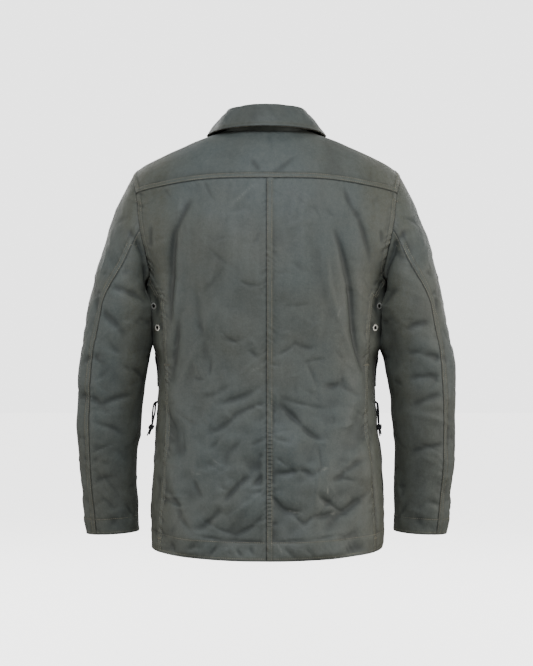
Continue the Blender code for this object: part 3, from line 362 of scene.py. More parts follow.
FRONT_CREASES = (
    (150, -150, 130, -300, 6, 12, 7.0), (-148, -140, -136, -310, -5, 12, 7.5),
    (60, -300, 110, -400, 0, 9, 4.5), (-70, -320, -120, -390, 0, 9, 4.5),
    (128, -200, 112, -290, 3, 6, -2.4), (-126, -210, -118, -300, 3, 6, -2.2),
    (45, -160, 90, -215, 3, 6, 2.0), (-40, -170, -96, -230, 3, 6, 2.2),
    (150, -430, 60, -452, 4, 8, 3.0), (-150, -440, -70, -456, 4, 8, 3.0),
    (50, -520, 84, -600, 3, 6, 2.4), (-52, -540, -88, -610, 3, 6, 2.4),
    (46, -640, 80, -690, 2, 6, 2.4), (-46, -630, -82, -684, 2, 6, 2.4),
    (48, -390, 92, -430, 0, 5, 1.8), (-50, -400, -100, -425, 0, 5, 1.8),
)
# On a sleeve, across is the angle in degrees times 0.9.
SLEEVE_CREASES_LEFT = (
    (93, -164, 126, -240, 4, 5, 7.0), (120, -222, 131, -288, 2, 5, 6.5),
    (62, -262, 118, -288, 3, 6, 3.8), (44, -300, 98, -352, 3, 8, 4.2),
    (30, -396, 62, -382, 2, 6, 3.0), (28, -455, 72, -468, 5, 7, 4.4),
    (72, -468, 120, -452, 2, 6, 3.2),
    (40, -566, 84, -572, 2, 5, 2.0), (60, -500, 110, -520, 3, 5, 2.0),
    (52, -610, 96, -596, 2, 5, 1.8), (-108, -330, -36, -360, 4, 8, 4.0),
    (-118, -420, -45, -400, 4, 7, 4.0), (-110, -480, -60, -500, 3, 6, 3.0),
    (-100, -260, -60, -300, 3, 7, 3.0), (-90, -560, -40, -545, 3, 6, 2.4),
    (150, -330, 165, -420, 3, 8, 3.0), (10, -240, 42, -300, 3, 6, 1.8),
    (100, -400, 150, -430, 3, 6, 2.6), (70, -425, 40, -440, 0, 5, -1.8),
)
SLEEVE_CREASES_RIGHT = (
    (94, -168, 112, -208, 3, 5, 5.0), (108, -198, 130, -256, 2, 5, 7.0),
    (60, -325, 96, -337, 2, 6, 3.4),
    (34, -394, 104, -376, 3, 7, 4.2), (50, -419, 104, -423, 2, 5, 2.4),
    (30, -508, 84, -490, 3, 5, -2.4), (30, -606, 66, -594, 2, 5, -2.2),
    (44, -650, 80, -644, 2, 5, 2.2), (46, -450, 100, -470, 4, 7, 3.6),
    (52, -540, 110, -552, 3, 6, 2.6), (-108, -340, -36, -370, 4, 8, 4.0),
    (-118, -430, -45, -405, 4, 7, 4.0), (-110, -490, -60, -505, 3, 6, 3.0),
    (-100, -265, -60, -305, 3, 7, 3.0), (-90, -570, -40, -552, 3, 6, 2.4),
    (150, -330, 165, -420, 3, 8, 3.0), (10, -245, 42, -305, 3, 6, 1.8),
    (96, -262, 130, -300, 3, 6, 3.0),
)
ANGLE_REACH = 0.9          # mm of across for one degree round a sleeve
SHORT_CREASE = 62          # mm; a shorter crease keeps more of its depth at its ends


def crease_depth(creases, across, up):
    """How far the creases push the cloth in at each place, in metres."""
    across, up = across * 1000, up * 1000
    depth = np.zeros(np.broadcast(across, up).shape)
    for x0, z0, x1, z1, bow, half_width, deep in creases:
        run_x, run_z = x1 - x0, z1 - z0
        length = math.hypot(run_x, run_z)
        reach = 3 * half_width + abs(bow)
        near = (across > min(x0, x1) - reach) & (across < max(x0, x1) + reach) \
            & (up > min(z0, z1) - reach) & (up < max(z0, z1) + reach)
        a, z = across[near], up[near]
        along = ((a - x0) * run_x + (z - z0) * run_z) / length ** 2
        inside = np.clip(along, 0, 1)
        aside = ((z - z0) * run_x - (a - x0) * run_z) / length - bow * 4 * inside * (1 - inside)
        beyond = (along - inside) * length
        far = np.sqrt((aside ** 2 + beyond ** 2) / half_width ** 2 + 0.12) - 0.346
        ends = 0.30 if length < SHORT_CREASE else 0.05
        taper = ends + (1 - ends) * np.sin(np.pi * inside) ** 0.8
        depth[near] += deep * taper * np.exp(-1.25 * far ** 1.35)
    return depth / 1000


def stray_creases(seed, count, low, high, depth=0.8):
    """Small creases at random places between two corners, in mm."""
    rng = np.random.default_rng(seed)
    rows = []
    for _ in range(count):
        x, z = rng.uniform(low[0], high[0]), rng.uniform(low[1], high[1])
        way = rng.normal(0.5, 0.7) * (1 if rng.random() < 0.6 else -1)
        length = rng.uniform(14, 58)
        rows.append((x, z, x + length * math.cos(way), z + length * math.sin(way),
                     rng.uniform(-3, 3), rng.uniform(2.2, 4.6),
                     depth * rng.uniform(0.35, 1.0) * (1 if rng.random() < 0.55 else -1)))
    return tuple(rows)


def swell(points, wavelength, seed, count=16):
    """Soft unevenness of about one unit, from waves in random directions."""
    rng = np.random.default_rng(seed)
    total = np.zeros(points.shape[:-1])
    for _ in range(count):
        way = unit(rng.normal(size=3))
        length = wavelength * rng.uniform(0.65, 1.5)
        total += np.sin(points @ way * (2 * np.pi / length) + rng.uniform(0, 6.28))
    return total / math.sqrt(count / 2)


BACK_STRAYS = stray_creases(3, 110, (-205, -730), (190, -340), 1.3) \
    + stray_creases(9, 60, (-205, -340), (190, -85), 0.8)
FRONT_STRAYS = stray_creases(4, 120, (-205, -730), (190, -60), 1.0)
YOKE_STRAYS = stray_creases(5, 22, (-225, -85), (200, 10), 0.6)
SLEEVE_STRAYS = stray_creases(6, 260, (-170, -700), (165, -90), 1.5)


def torso_creases(points):
    x, y, z = points[..., 0], points[..., 1], points[..., 2]
    back = ease((y - MIDDLE_Y - 0.01) / 0.04)
    front = ease((MIDDLE_Y - 0.01 - y) / 0.04)
    depth = back * crease_depth(BACK_CREASES + BACK_STRAYS + YOKE_STRAYS, x, z)
    depth += front * crease_depth(FRONT_CREASES + FRONT_STRAYS, x, z)
    lower = ease((-0.38 - z) / 0.15)
    half = read(TORSO, HALF_WIDTH, z)
    inside = 0.25 + 0.75 * ease((half - np.abs(x)) / 0.03)
    depth -= inside * (0.0008 + 0.0012 * lower) * swell(points, 0.095, 11)
    depth -= (0.00008 + 0.00022 * lower) * swell(points, 0.030, 12)
    depth *= 1 + 0.25 * lower
    # Below the armpits the sides stand out a little, to where the sleeves leave them, and
    # so does the right side at its waist cord.
    depth -= 0.0013 * ease((np.abs(x) - 0.19) / 0.012) * np.exp(-((z + 0.257) / 0.016) ** 2)
    right = ease((-x - 0.15) / 0.03)
    depth -= (0.0026 + 0.0016 * right) * ease((np.abs(x) - 0.15) / 0.03) \
        * np.exp(-((z + 0.366) / 0.014) ** 2)
    skirt = ease((-0.50 - z) / 0.06)
    depth -= right * (0.0022 * np.exp(-((z + 0.490) / 0.018) ** 2) + 0.0036 * skirt)
    return depth + 0.0012 * ease((x - 0.15) / 0.03) * skirt


def sleeve_creases(creases, seed, bulge):
    def depth(points):
        z = points[..., 2]
        low = np.clip(z, CUFF_HEIGHT, BICEPS_HEIGHT)
        x = (points[..., 0] - sleeve_size(1, low)) / sleeve_size(3, low)
        y = (points[..., 1] - sleeve_size(2, low)) / sleeve_size(4, low)
        across = np.degrees(np.arctan2(y, x)) * ANGLE_REACH / 1000
        deep = crease_depth(creases + SLEEVE_STRAYS, across, z)
        deep -= 0.0011 * swell(points, 0.085, seed)
        deep -= 0.00018 * swell(points, 0.030, seed + 1)
        # The side that lies against the body stays on it.
        beside_body = points[..., 0] - torso_side(points[..., 1], z)
        touching = 1 - ease((beside_body - 0.003) / 0.012)
        middle = ease((0.060 - np.abs(points[..., 1])) / 0.012)
        return deep * (1 - touching * middle) \
            - bulge * np.exp(-((z + 0.368) / 0.014) ** 2 - (beside_body / 0.016) ** 2)
    return depth


# ---------------------------------------------------------------- seams on the cloth
ROW_DIP, ROW_HALF_WIDTH = 0.00035, 0.0012    # how a row of stitches draws the cloth in
TILT_REACH = 0.013                           # how far round an eyelet the cloth leans with it
SIDE_REACH = 0.19                            # the sides' distance from the middle, for small turns


def nearest(points, line):
    """The distance of each point to a line, and how far along the line that is."""
    flat = points.reshape(-1, 3)
    along = distance_along(line)
    distance = np.empty(len(flat))
    where = np.empty(len(flat))
    for start in range(0, len(flat), 2000):
        part = flat[start:start + 2000]
        gaps = ((part[:, None] - line[None]) ** 2).sum(-1)
        best = gaps.argmin(1)
        distance[start:start + 2000] = np.sqrt(gaps[np.arange(len(part)), best])
        where[start:start + 2000] = along[best]
    return distance.reshape(points.shape[:-1]), where.reshape(points.shape[:-1])


class Edge:
    """One side of a panel: a line of places, and what is sewn along it.

    lap is how far a felled seam stands up and how wide it is, rows are the distances of
    its rows of stitches, and pucker is how far they gather the cloth, once every gather.
    """

    def __init__(self, places, lap=(0, 0), rows=(), pucker=0.0003, rolled=0.0005, gather=0.0105,
                 ladder_shade=None):
        self.places = places
        self.lap_height, self.lap_width = lap
        self.rows = rows
        self.pucker = pucker
        self.rolled = rolled
        self.gather = gather
        # The heights, from and to, between which the cloth beside this seam gets painted bands of
        # shade, as if drawn up.
        self.ladder_shade = ladder_shade


class Cloth:
    """A panel: its form, the grid of places on it, its creases and its edges.

    mask says which cells of the grid are cloth, and tilts how it leans at its eyelets. A
    cloth that is laid on others has carried in place of creases: how far out it lies.
    """

    def __init__(self, name, surface, places, creases, edges, mask=None, seed=0, carried=None,
                 tilts=()):
        self.name, self.surface, self.places = name, surface, places
        self.creases, self.edges, self.seed = creases, edges, seed
        self.mask = np.ones(np.array(places.shape[:2]) - 1, bool) if mask is None else mask
        self.carried = carried
        self.tilts = [(surface(turn, height), facing(surface, turn, height), slope)
                      for turn, height, slope in tilts]
        for edge in edges:
            edge.line = dense_line(surface, edge.places)
        self.flat = surface(places[..., 0], places[..., 1])

    def relief(self, points):
        """How far the cloth stands out from its form."""
        rise = self.carried(points) if self.carried else -self.creases(points)
        for number, edge in enumerate(self.edges):
            distance, along = nearest(points, edge.line)
            if not self.carried:
                rise *= 0.35 + 0.65 * ease(distance / 0.012)
            slant = along + 0.7 * distance
            wander = 2.2 * np.sin(slant * 2 * np.pi / 0.047 + number)
            wave = np.sin(slant * 2 * np.pi / edge.gather + wander)
            strength = 0.5 + 0.5 * np.sin(along * 2 * np.pi / 0.13 + self.seed + 1.7 * number)
            middle = max(edge.lap_width, 0.006) * 0.6
            band = np.exp(-((distance - middle) / (0.8 * middle + 0.004)) ** 2)
            rise += edge.pucker * band * (wave - 0.4) * (0.35 + 0.9 * strength ** 2)
            if edge.lap_height:
                rise += edge.lap_height * (1 - ease((distance - edge.lap_width + 0.001) / 0.002))
            for row in edge.rows:
                rise -= ROW_DIP * np.exp(-((distance - row) / ROW_HALF_WIDTH) ** 2)
            rise -= edge.rolled * np.exp(-distance / 0.0009)
        for middle, out, slope in self.tilts:
            forward = np.cross(out, (0, 0, 1))
            forward *= -np.sign(forward[1])
            away = points - middle
            rise += dot(away, forward) * slope * np.exp(-dot(away, away) / TILT_REACH ** 2)
        return rise

    def raised(self, places):
        points = self.surface(places[..., 0], places[..., 1])
        return points, facing(self.surface, places[..., 0], places[..., 1]), self.relief(points)

    def seat(self, turn, height, reach=0.004):
        """A place on the cloth and the way out of it there."""
        turn_step = reach / SIDE_REACH
        steps = np.array([(0, 0), (turn_step, 0), (-turn_step, 0), (0, reach), (0, -reach)])
        points, out, rise = self.raised(steps + (turn, height))
        points = points + out * rise[:, None]
        way = unit(np.cross(points[3] - points[4], points[1] - points[2]))
        return points[0], way * np.sign(dot(way, out[0]))


def dense_line(surface, places, step=0.0012):
    line = surface(places[:, 0], places[:, 1])
    along = distance_along(line)
    keep = np.linspace(0, along[-1], max(8, round(along[-1] / step)))
    return placed_along(keep, along, line)


def solved(surface, places, target, step=1e-4):
    """The places on a surface that lie nearest to some points."""
    for _ in range(4):
        here = surface(places[..., 0], places[..., 1])
        across = (surface(places[..., 0] + step, places[..., 1]) - here) / step
        up = (surface(places[..., 0], places[..., 1] + step) - here) / step
        move = target - here
        aa, bb, ab = dot(across, across), dot(up, up), dot(across, up)
        ma, mb = dot(across, move), dot(up, move)
        size = np.maximum(aa * bb - ab ** 2, 1e-12)
        places = places + np.stack([(ma * bb - mb * ab) / size, (mb * aa - ma * ab) / size], -1)
    return places


def beside(surface, places, distance, towards):
    """A line at a distance from an edge, on the side of a point inside the panel."""
    points = surface(places[:, 0], places[:, 1])
    out = facing(surface, places[:, 0], places[:, 1])
    inward = unit(np.cross(out, np.gradient(points, axis=0)))
    inward *= np.sign(dot(inward, towards - points))[:, None]
    return solved(surface, places, points + inward * distance)


# ---------------------------------------------------------------- meshes
def declare(piece, slot, *solids):
    """Say what a piece rides on and which solids it stands for; its slot, what it is made of, is
    not used.
    """
    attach(piece, "root")
    if solids:
        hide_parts(*solids)


def new_object(name, mesh, material, slot, *solids):
    mesh.materials.append(material)
    piece = bpy.data.objects.new(name, mesh)
    bpy.context.scene.collection.objects.link(piece)
    declare(piece, slot, *solids)
    return piece


def smoothed(values, rounds):
    """Values on a grid, each averaged with its neighbours."""
    for _ in range(rounds):
        wide = np.pad(values, 1, mode="edge")
        values = (wide[:-2, 1:-1] + wide[2:, 1:-1] + wide[1:-1, :-2] + wide[1:-1, 2:]
                  + values) / 5
    return values


def grid_faces(mask):
    """Quads of a grid's cells, and its border as pairs of corners."""
    rows, columns = mask.shape
    index = np.arange((rows + 1) * (columns + 1)).reshape(rows + 1, columns + 1)
    quads = np.stack([index[:-1, :-1], index[1:, :-1], index[1:, 1:], index[:-1, 1:]], -1)
    quads = quads[mask]
    pairs = np.concatenate([quads[:, [k, (k + 1) % 4]] for k in range(4)])
    there = {(a, b) for a, b in pairs.tolist()}
    border = np.array([(a, b) for a, b in there if (b, a) not in there])
    return quads, border


def shell(name, outer, inner, mask, values):
    """A closed wall between two grids of points, with values kept on its points."""
    quads, border = grid_faces(mask)
    count = outer[..., 0].size
    corners = np.concatenate([outer.reshape(-1, 3), inner.reshape(-1, 3)])
    sides = np.stack([border[:, 1], border[:, 0], border[:, 0] + count, border[:, 1] + count], 1)
    faces = np.concatenate([quads, quads[:, ::-1] + count, sides])
    first = corners[quads]
    middle = np.cross(first[:, 2] - first[:, 0], first[:, 3] - first[:, 1])
    outward = (outer - inner).reshape(-1, 3)[quads[:, 0]]
    if dot(middle, outward).mean() < 0:
        faces = faces[:, ::-1]
    used, faces_flat = np.unique(faces, return_inverse=True)
    faces = faces_flat.reshape(faces.shape)
    mesh = bpy.data.meshes.new(name)
    mesh.from_pydata(corners[used], [], faces.tolist())
    for key, value in values.items():
        kept = np.tile(value.reshape(-1), 2)[used].astype(np.float32)
        mesh.attributes.new(key, "FLOAT", "POINT").data.foreach_set("value", kept)
    mesh.shade_smooth()
    mesh.set_sharp_from_angle(angle=math.radians(62))
    return mesh


def flat_size(points):
    """The width and length of a panel laid flat."""
    rows = np.linalg.norm(np.diff(points, axis=1), axis=-1).sum(1)
    columns = np.linalg.norm(np.diff(points, axis=0), axis=-1).sum(0)
    return float(rows.max()), float(columns.max())


def area_of(points, mask):
    """The area of a grid's cloth."""
    a = points[1:, 1:] - points[:-1, :-1]
    b = points[1:, :-1] - points[:-1, 1:]
    cells = np.linalg.norm(np.cross(a, b), axis=-1) / 2
    return float(cells[mask].sum())


# How much painted shade darkens the hollows: over how many points they are read, and how deep one
# is dark.
HOLLOW_SHADING = ((9, 0.0009, 0.55), (60, 0.0034, 0.60))
COLLAR_DARKER = 0.30          # how much darker the collar is all over


def make_cloth(cloth, mirror=False, holes=()):
    """The panel's mesh, attached to the root, with the solid that it stands for hidden."""
    points, out, rise = cloth.raised(cloth.places)
    outer = points + out * rise[..., None]
    inner = outer - out * WALL
    finer = area_of(points, cloth.mask) / rise.size / GRAIN ** 2
    # Painted shade: darker where the cloth lies below its smoothed surroundings, in its creases
    # and hollows.
    hollow_shade = sum(np.clip((smoothed(rise, round(rounds / finer)) - rise) / deep, 0, 1) * dark
                 for rounds, deep, dark in HOLLOW_SHADING)
    # The collar is darker all over, through the same attribute as the painted shade of the
    # hollows.
    hollow_shade += COLLAR_DARKER * cloth.name.startswith("collar")
    seam_groove_shade, ladder_shade, sewn = np.zeros(rise.shape), np.zeros(rise.shape), np.ones(rise.shape)
    for edge in cloth.edges:
        distance = nearest(points, edge.line)[0]
        # Painted shade: a dark line along each seam's edge, and a weaker one just past a lapped
        # edge, where the lap shades the cloth below it.
        seam_groove_shade = np.maximum(seam_groove_shade, np.exp(-(distance / 0.0011) ** 2))
        if edge.lap_height:
            step = np.exp(-((distance - edge.lap_width - 0.0006) / 0.0011) ** 2)
            seam_groove_shade = np.maximum(seam_groove_shade, 0.30 * step)
        for row in edge.rows:
            sewn = np.minimum(sewn, np.abs(distance - row))
        # Painted shade: between the seam's edge and its lap, within the given heights, the cloth
        # is marked for bands of shade.
        if edge.ladder_shade:
            (low, high), height = edge.ladder_shade, points[..., 2]
            between = ease((distance - 0.0006) / 0.001) * ease((edge.lap_width - distance) / 0.001)
            ladder_shade = between * ease((height - low) / 0.03) * ease((high - height) / 0.03)
    values = {"hollow_shade": np.clip(hollow_shade, 0, 1), "seam_groove_shade": seam_groove_shade, "ladder_shade": ladder_shade,
              # seam: brown worn beside the rows of stitches, and between the sides and the inner
              # sleeves partly worn and partly painted shade.
              "seam": np.maximum(0.85 * np.exp(-(sewn / 0.0026) ** 1.5), underarm_wear_and_shade(points)),
              "scuffed": scuffed(points)}
    mask = cloth.mask
    for hole in holes:
        outer, inner, mask = opened(outer, inner, mask, hole)
    if mirror:
        outer, inner = outer * (-1, 1, 1), inner * (-1, 1, 1)
    mesh = shell(cloth.name, outer, inner, mask, values)
    piece = new_object(cloth.name + "_cloth", mesh, COTTON, "waxed_cotton", cloth.name)
    width, length = flat_size(cloth.flat)
    round(min(area_of(outer, mask), 0.999 * width * length), 4)


# Scuffs on the back, as creases are given; the last number is how pale they are.
SCUFFS = (
    (-91, -580, -103, -574, -1, 1.3, 0.50), (-104, -604, -104, -617, 1, 1.1, 0.36),
    (-112, -652, -121, -650, 1, 1.6, 0.38), (128, -582, 111, -583, 1, 0.8, 0.35),
    (-37, -645, -58, -648, 1, 1.0, 0.36), (64, -130, 22, -91, 0, 1.3, 0.18),
    (-18, -700, -26, -716, 0, 0.9, 0.3), (8, -402, 26, -410, 2, 0.9, 0.2),
    (92, -558, 80, -566, 1, 0.9, 0.2), (-128, -300, -121, -322, 2, 1.1, 0.15),
)


def underarm_wear_and_shade(points):
    """Between the side seams and the inner sleeves: the seams' brown, partly worn, partly painted
    shade.
    """
    out = np.abs(points[..., 0])
    return 0.9 * ease((out - 0.150) / 0.035) * ease((0.266 - out) / 0.030)


def scuffed(points):
    """How pale the cloth is rubbed at each place on the back."""
    back = ease((points[..., 1] - MIDDLE_Y) / 0.05)
    return np.clip(back * crease_depth(SCUFFS, points[..., 0], points[..., 2]) * 1000, 0, 1)


def opened(outer, inner, mask, hole, radius=0.0036, reach=0.010):
    """The grids with the cloth drawn back round a hole, and its cell taken out."""
    mask = mask.copy()
    cells = (outer[1:, 1:] + outer[:-1, :-1] + outer[1:, :-1] + outer[:-1, 1:]) / 4
    gaps = np.linalg.norm(cells - hole, axis=-1)
    gaps[~mask] = 1
    r, c = np.unravel_index(gaps.argmin(), gaps.shape)
    mask[r, c] = False
    away = outer - cells[r, c]
    far = np.linalg.norm(away, axis=-1, keepdims=True)
    shift = cells[r, c] - hole
    pulled = np.where(far < reach, radius + far * (1 - radius / reach), far)
    move = away * (pulled / np.maximum(far, 1e-9) - 1) - shift * ease(1 - far / (2 * reach))
    return outer + move, inner + move, mask


# ---------------------------------------------------------------- materials
def linear(code):
    """A colour written in sRGB hex, as linear light."""
    parts = [int(code[i:i + 2], 16) / 255 for i in (0, 2, 4)]
    return tuple(p / 12.92 if p <= 0.04045 else ((p + 0.055) / 1.055) ** 2.4
                 for p in parts) + (1.0,)


def feed(made, **values):
    """Set a node's inputs, by name or by i and number, and link what is a socket."""
    for key, value in values.items():
        socket = made.inputs[int(key[1:]) if key[1:].isdigit() else key.replace("_", " ")]
        if isinstance(value, bpy.types.NodeSocket):
            made.id_data.links.new(value, socket)
        else:
            socket.default_value = value
    return made


def node(tree, kind, settings=(), **values):
    """Add a node with its properties, its inputs and its links."""
    made = tree.nodes.new(kind)
    for key, value in dict(settings).items():
        setattr(made, key, value)
    return feed(made, **values)


def start_material(name):
    material = bpy.data.materials.new(name)
    material.use_nodes = True
    tree = material.node_tree
    return material, tree, tree.nodes["Principled BSDF"]


MIXED = {"data_type": "RGBA"}
TIMES = {"operation": "MULTIPLY", "use_clamp": True}
# How the wax varies, as noise: scale, detail, roughness, and the range that is drawn out.
WAX = {
    "patches": (6.0, 3.0, 0.55, 0.40, 0.62),     # patches of about 150 mm
    "cloud": (34.0, 4.0, 0.60, 0.34, 0.68),      # clouding of about 30 mm
    "fleck": (480.0, 3.0, 0.70, 0.40, 0.74),     # wax in the weave, drawn coarse at 2 mm
    "mottle": (170.0, 3.0, 0.60, 0.36, 0.66),    # wax rubbed thin, in spots of 6 mm
    "rubbed": (95.0, 4.0, 0.50, 0.42, 0.68),     # rubbed streaks of 10 mm, down the cloth
}
WEAVE = ((900.0, 2.0, 0.20, 0.0004),             # threads of 0.5 mm, drawn at 1 mm
         (130.0, 4.0, 0.40, 0.0012))             # and the cloth's unevenness, of 8 mm
SHADE_BAND_PITCH = 0.0066             # how far apart the painted bands of shade on the drawn-up centre seam are


def waxed_cotton():
    """Waxed cotton: a tight olive weave under a film of wax, which has a cool sheen. Painted shade
    darkens its creases and hollows, its seam lines, the cloth just past lapped edges and bands
    up the drawn-up centre seam; the collar is darker all over. It wears brown along the seams,
    and the same brown lies between the sides and the inner sleeves, partly worn and partly
    painted shade. It turns chalky where scuffed."""
    material, tree, shader = start_material("waxed_cotton")
    place = node(tree, "ShaderNodeTexCoord").outputs["Object"]
    down = node(tree, "ShaderNodeMapping", i0=place, Scale=(1.0, 1.0, 0.16)).outputs[0]
    wax = {}
    for name, (scale, detail, rough, low, high) in WAX.items():
        noise = node(tree, "ShaderNodeTexNoise", Vector=down if name == "rubbed" else place,
                     Scale=scale, Detail=detail, Roughness=rough).outputs["Fac"]
        wax[name] = node(tree, "ShaderNodeMapRange", i0=noise, i1=low, i2=high).outputs[0]
    streak = node(tree, "ShaderNodeTexNoise", Vector=place, Scale=120.0, Detail=4.0,
                  Roughness=0.75).outputs["Fac"]       # wear in streaks of 8 mm
    worn, chalky = (
        node(tree, "ShaderNodeMapRange", i0=streak, i1=low, i2=high, i3=least, i4=most).outputs[0]
        for low, high, least, most in ((0.25, 0.70, 0.35, 0.85), (0.42, 0.60, 0.25, 0.95)))
    kept = {name: node(tree, "ShaderNodeAttribute", {"attribute_name": name}).outputs["Fac"]
            for name in ("seam", "hollow_shade", "ladder_shade", "seam_groove_shade", "scuffed")}
    height = node(tree, "ShaderNodeSeparateXYZ", i0=place).outputs[2]
    # Painted shade in near-black bands, one every 6.6 mm up the marked part of the centre seam,
    # where its puckers would shade the cloth.
    turns = node(tree, "ShaderNodeMath", {"operation": "MULTIPLY"}, i0=height,
                 i1=2 * math.pi / SHADE_BAND_PITCH).outputs[0]
    shade_band = node(tree, "ShaderNodeMath", {"operation": "SINE", "use_clamp": True},
                i0=turns).outputs[0]
    shade_bands = node(tree, "ShaderNodeMath", TIMES, i0=shade_band, i1=kept["ladder_shade"]).outputs[0]
    base = linear("424a4a")
    # Each colour mixes in by its mask: the cloth's own tone, its wear and scuffs, and painted
    # shade.
    for wear_and_shade, strength, colour in (
            # The seams' brown is worn, and under the arms it is partly painted shade as well.
            (wax["patches"], 1.0, "474a45"), (kept["seam"], worn, "484739"),
            (wax["cloud"], 0.28, "5a605d"), (wax["mottle"], 0.22, "5f6560"),
            (wax["rubbed"], 0.16, "626863"), (wax["fleck"], 0.24, "6c6f67"),
            # Painted shade in the creases and hollows, and in bands up the drawn-up centre seam.
            (kept["hollow_shade"], 0.62, "1e2323"), (shade_bands, 0.75, "171b1b"),
            # Painted shade along the seam lines; then the real pale scuffs.
            (kept["seam_groove_shade"], 0.80, "141717"), (kept["scuffed"], chalky, "a9aa9f")):
        share = node(tree, "ShaderNodeMath", TIMES, i0=wear_and_shade, i1=strength).outputs[0]
        base = node(tree, "ShaderNodeMix", MIXED, i0=share, i6=base, i7=linear(colour)).outputs[2]
    normal = {}
    for scale, detail, strength, deep in WEAVE:
        noise = node(tree, "ShaderNodeTexNoise", Vector=place, Scale=scale, Detail=detail,
                     Roughness=0.6).outputs["Fac"]
        normal["Normal"] = node(tree, "ShaderNodeBump", Strength=strength, Distance=deep,
                                Height=noise, **normal).outputs[0]
    rough = node(tree, "ShaderNodeMapRange", i0=wax["cloud"], i3=0.58, i4=0.70).outputs[0]
    feed(shader, Base_Color=base, Roughness=rough, IOR=1.46, Sheen_Weight=0.05,
         Sheen_Roughness=0.5, Sheen_Tint=linear("9fa49c"), **normal)
    return material


def sewing_thread():
    """Cotton-wrapped sewing thread, waxed with the cloth: matte, a little paler and browner,
    and unevenly so every 25 mm."""
    material, tree, shader = start_material("sewing_thread")
    place = node(tree, "ShaderNodeTexCoord").outputs["Object"]
    worn = node(tree, "ShaderNodeTexNoise", Vector=place, Scale=40.0, Detail=3.0).outputs["Fac"]
    worn = node(tree, "ShaderNodeMapRange", i0=worn, i1=0.35, i2=0.65).outputs[0]
    colour = node(tree, "ShaderNodeMix", MIXED, i0=worn, i6=linear("63625a"),
                  i7=linear("8b8673")).outputs[2]
    feed(shader, Base_Color=colour, Roughness=0.75)
    return material


def nickel_plate():
    """Nickel-plated brass, stamped and polished: bright, with handling marks of 1 mm."""
    material, tree, shader = start_material("nickel_plate")
    place = node(tree, "ShaderNodeTexCoord").outputs["Object"]
    marks = node(tree, "ShaderNodeTexNoise", Vector=place, Scale=900.0, Detail=4.0).outputs["Fac"]
    colour = node(tree, "ShaderNodeMix", MIXED, i0=marks, i6=linear("e6e4de"),
                  i7=linear("f4f3ef")).outputs[2]
    rough = node(tree, "ShaderNodeMapRange", i0=marks, i1=0.3, i2=0.7, i3=0.42, i4=0.56).outputs[0]
    feed(shader, Base_Color=colour, Roughness=rough, Metallic=1.0)
    return material


def braided_cord():
    """Braided polyester cord: near black, matte, with a diagonal braid every 1.2 mm."""
    material, tree, shader = start_material("braided_cord")
    place = node(tree, "ShaderNodeTexCoord").outputs["Object"]
    braid = node(tree, "ShaderNodeTexWave", {"bands_direction": "DIAGONAL"}, Vector=place,
                 Scale=260.0, Distortion=1.0).outputs["Fac"]
    colour = node(tree, "ShaderNodeMix", MIXED, i0=braid, i6=linear("0d0e0f"),
                  i7=linear("222324")).outputs[2]
    bump = node(tree, "ShaderNodeBump", Strength=0.6, Distance=0.0003, Height=braid).outputs[0]
    feed(shader, Base_Color=colour, Roughness=0.65, Normal=bump)
    return material


COTTON = waxed_cotton()
THREAD = sewing_thread()
NICKEL = nickel_plate()
CORD = braided_cord()


# ---------------------------------------------------------------- the waist cords
CORD_DIAMETER = 0.0031
TAIL_DIAMETER = 0.0026       # the cut ends, drawn thin below the knot
KNOT_RADIUS, KNOT_RISE = 0.00128, 0.0034
LEG_POINTS = 34
LEG_APART = 0.0003           # how far each leg is moved aside, so that the thicker cord fits
# The two legs of each waist cord, from inside its eyelet down to its knot, in mm.
CORD_LEGS = {
    "cord_left_a": ((191.2, 6.0, -465.0), (193.6, 6.0, -465.0), (196.4, 6.2, -465.5),
                    (198.9, 6.4, -467.2), (200.4, 6.7, -470.6), (201.2, 6.9, -475.6),
                    (201.9, 6.9, -481.3), (202.4, 6.8, -486.3), (202.8, 6.7, -491.4),
                    (203.0, 6.5, -496.4), (203.0, 6.3, -501.4), (203.4, 6.0, -506.6)),
    "cord_left_b": ((191.2, 3.4, -465.0), (193.2, 3.4, -465.0), (195.4, 3.2, -465.8),
                    (197.0, 3.0, -468.0), (197.7, 2.7, -472.2), (197.8, 2.5, -477.3),
                    (198.2, 2.5, -482.2), (199.0, 2.6, -487.1), (200.2, 2.7, -491.9),
                    (201.2, 2.9, -496.7), (202.2, 3.3, -501.5), (203.4, 3.6, -506.6)),
    "cord_right_a": ((-191.2, 6.0, -465.0), (-193.2, 6.0, -465.0), (-195.6, 6.2, -465.8),
                     (-197.4, 6.4, -468.2), (-198.2, 6.7, -472.0), (-198.7, 6.9, -476.8),
                     (-199.0, 6.9, -481.7), (-199.2, 6.8, -486.5), (-199.3, 6.7, -491.4),
                     (-199.4, 6.5, -496.3), (-199.4, 6.3, -501.1), (-199.6, 6.0, -506.6)),
    "cord_right_b": ((-191.2, 3.4, -465.0), (-193.0, 3.4, -465.0), (-195.0, 3.2, -466.0),
                     (-196.6, 3.0, -468.4), (-197.1, 2.7, -472.5), (-197.1, 2.5, -477.3),
                     (-197.3, 2.5, -482.1), (-197.6, 2.6, -486.9), (-198.1, 2.7, -491.7),
                     (-198.6, 2.9, -496.4), (-199.0, 3.3, -501.2), (-199.6, 3.6, -506.6)),
}
KNOTS = {"left": ((204.75, 4.7, -510.5), (210.75, 4.1, -526.3)),
         "right": ((-200.24, 4.7, -510.5), (-202.94, 4.1, -526.3))}


def smooth_route(points, count):
    """Evenly spread points, in metres, on a smooth line through a route given in mm."""
    points = np.array(points, float) / 1000
    keys = distance_along(points)
    table = np.column_stack([keys, points])
    at = np.linspace(0, keys[-1], count)
    line = np.stack([read(table, axis, at) for axis in (1, 2, 3)], 1)
    for _ in range(6):
        line[1:-1] = (line[:-2] + 2 * line[1:-1] + line[2:]) / 4
    return line


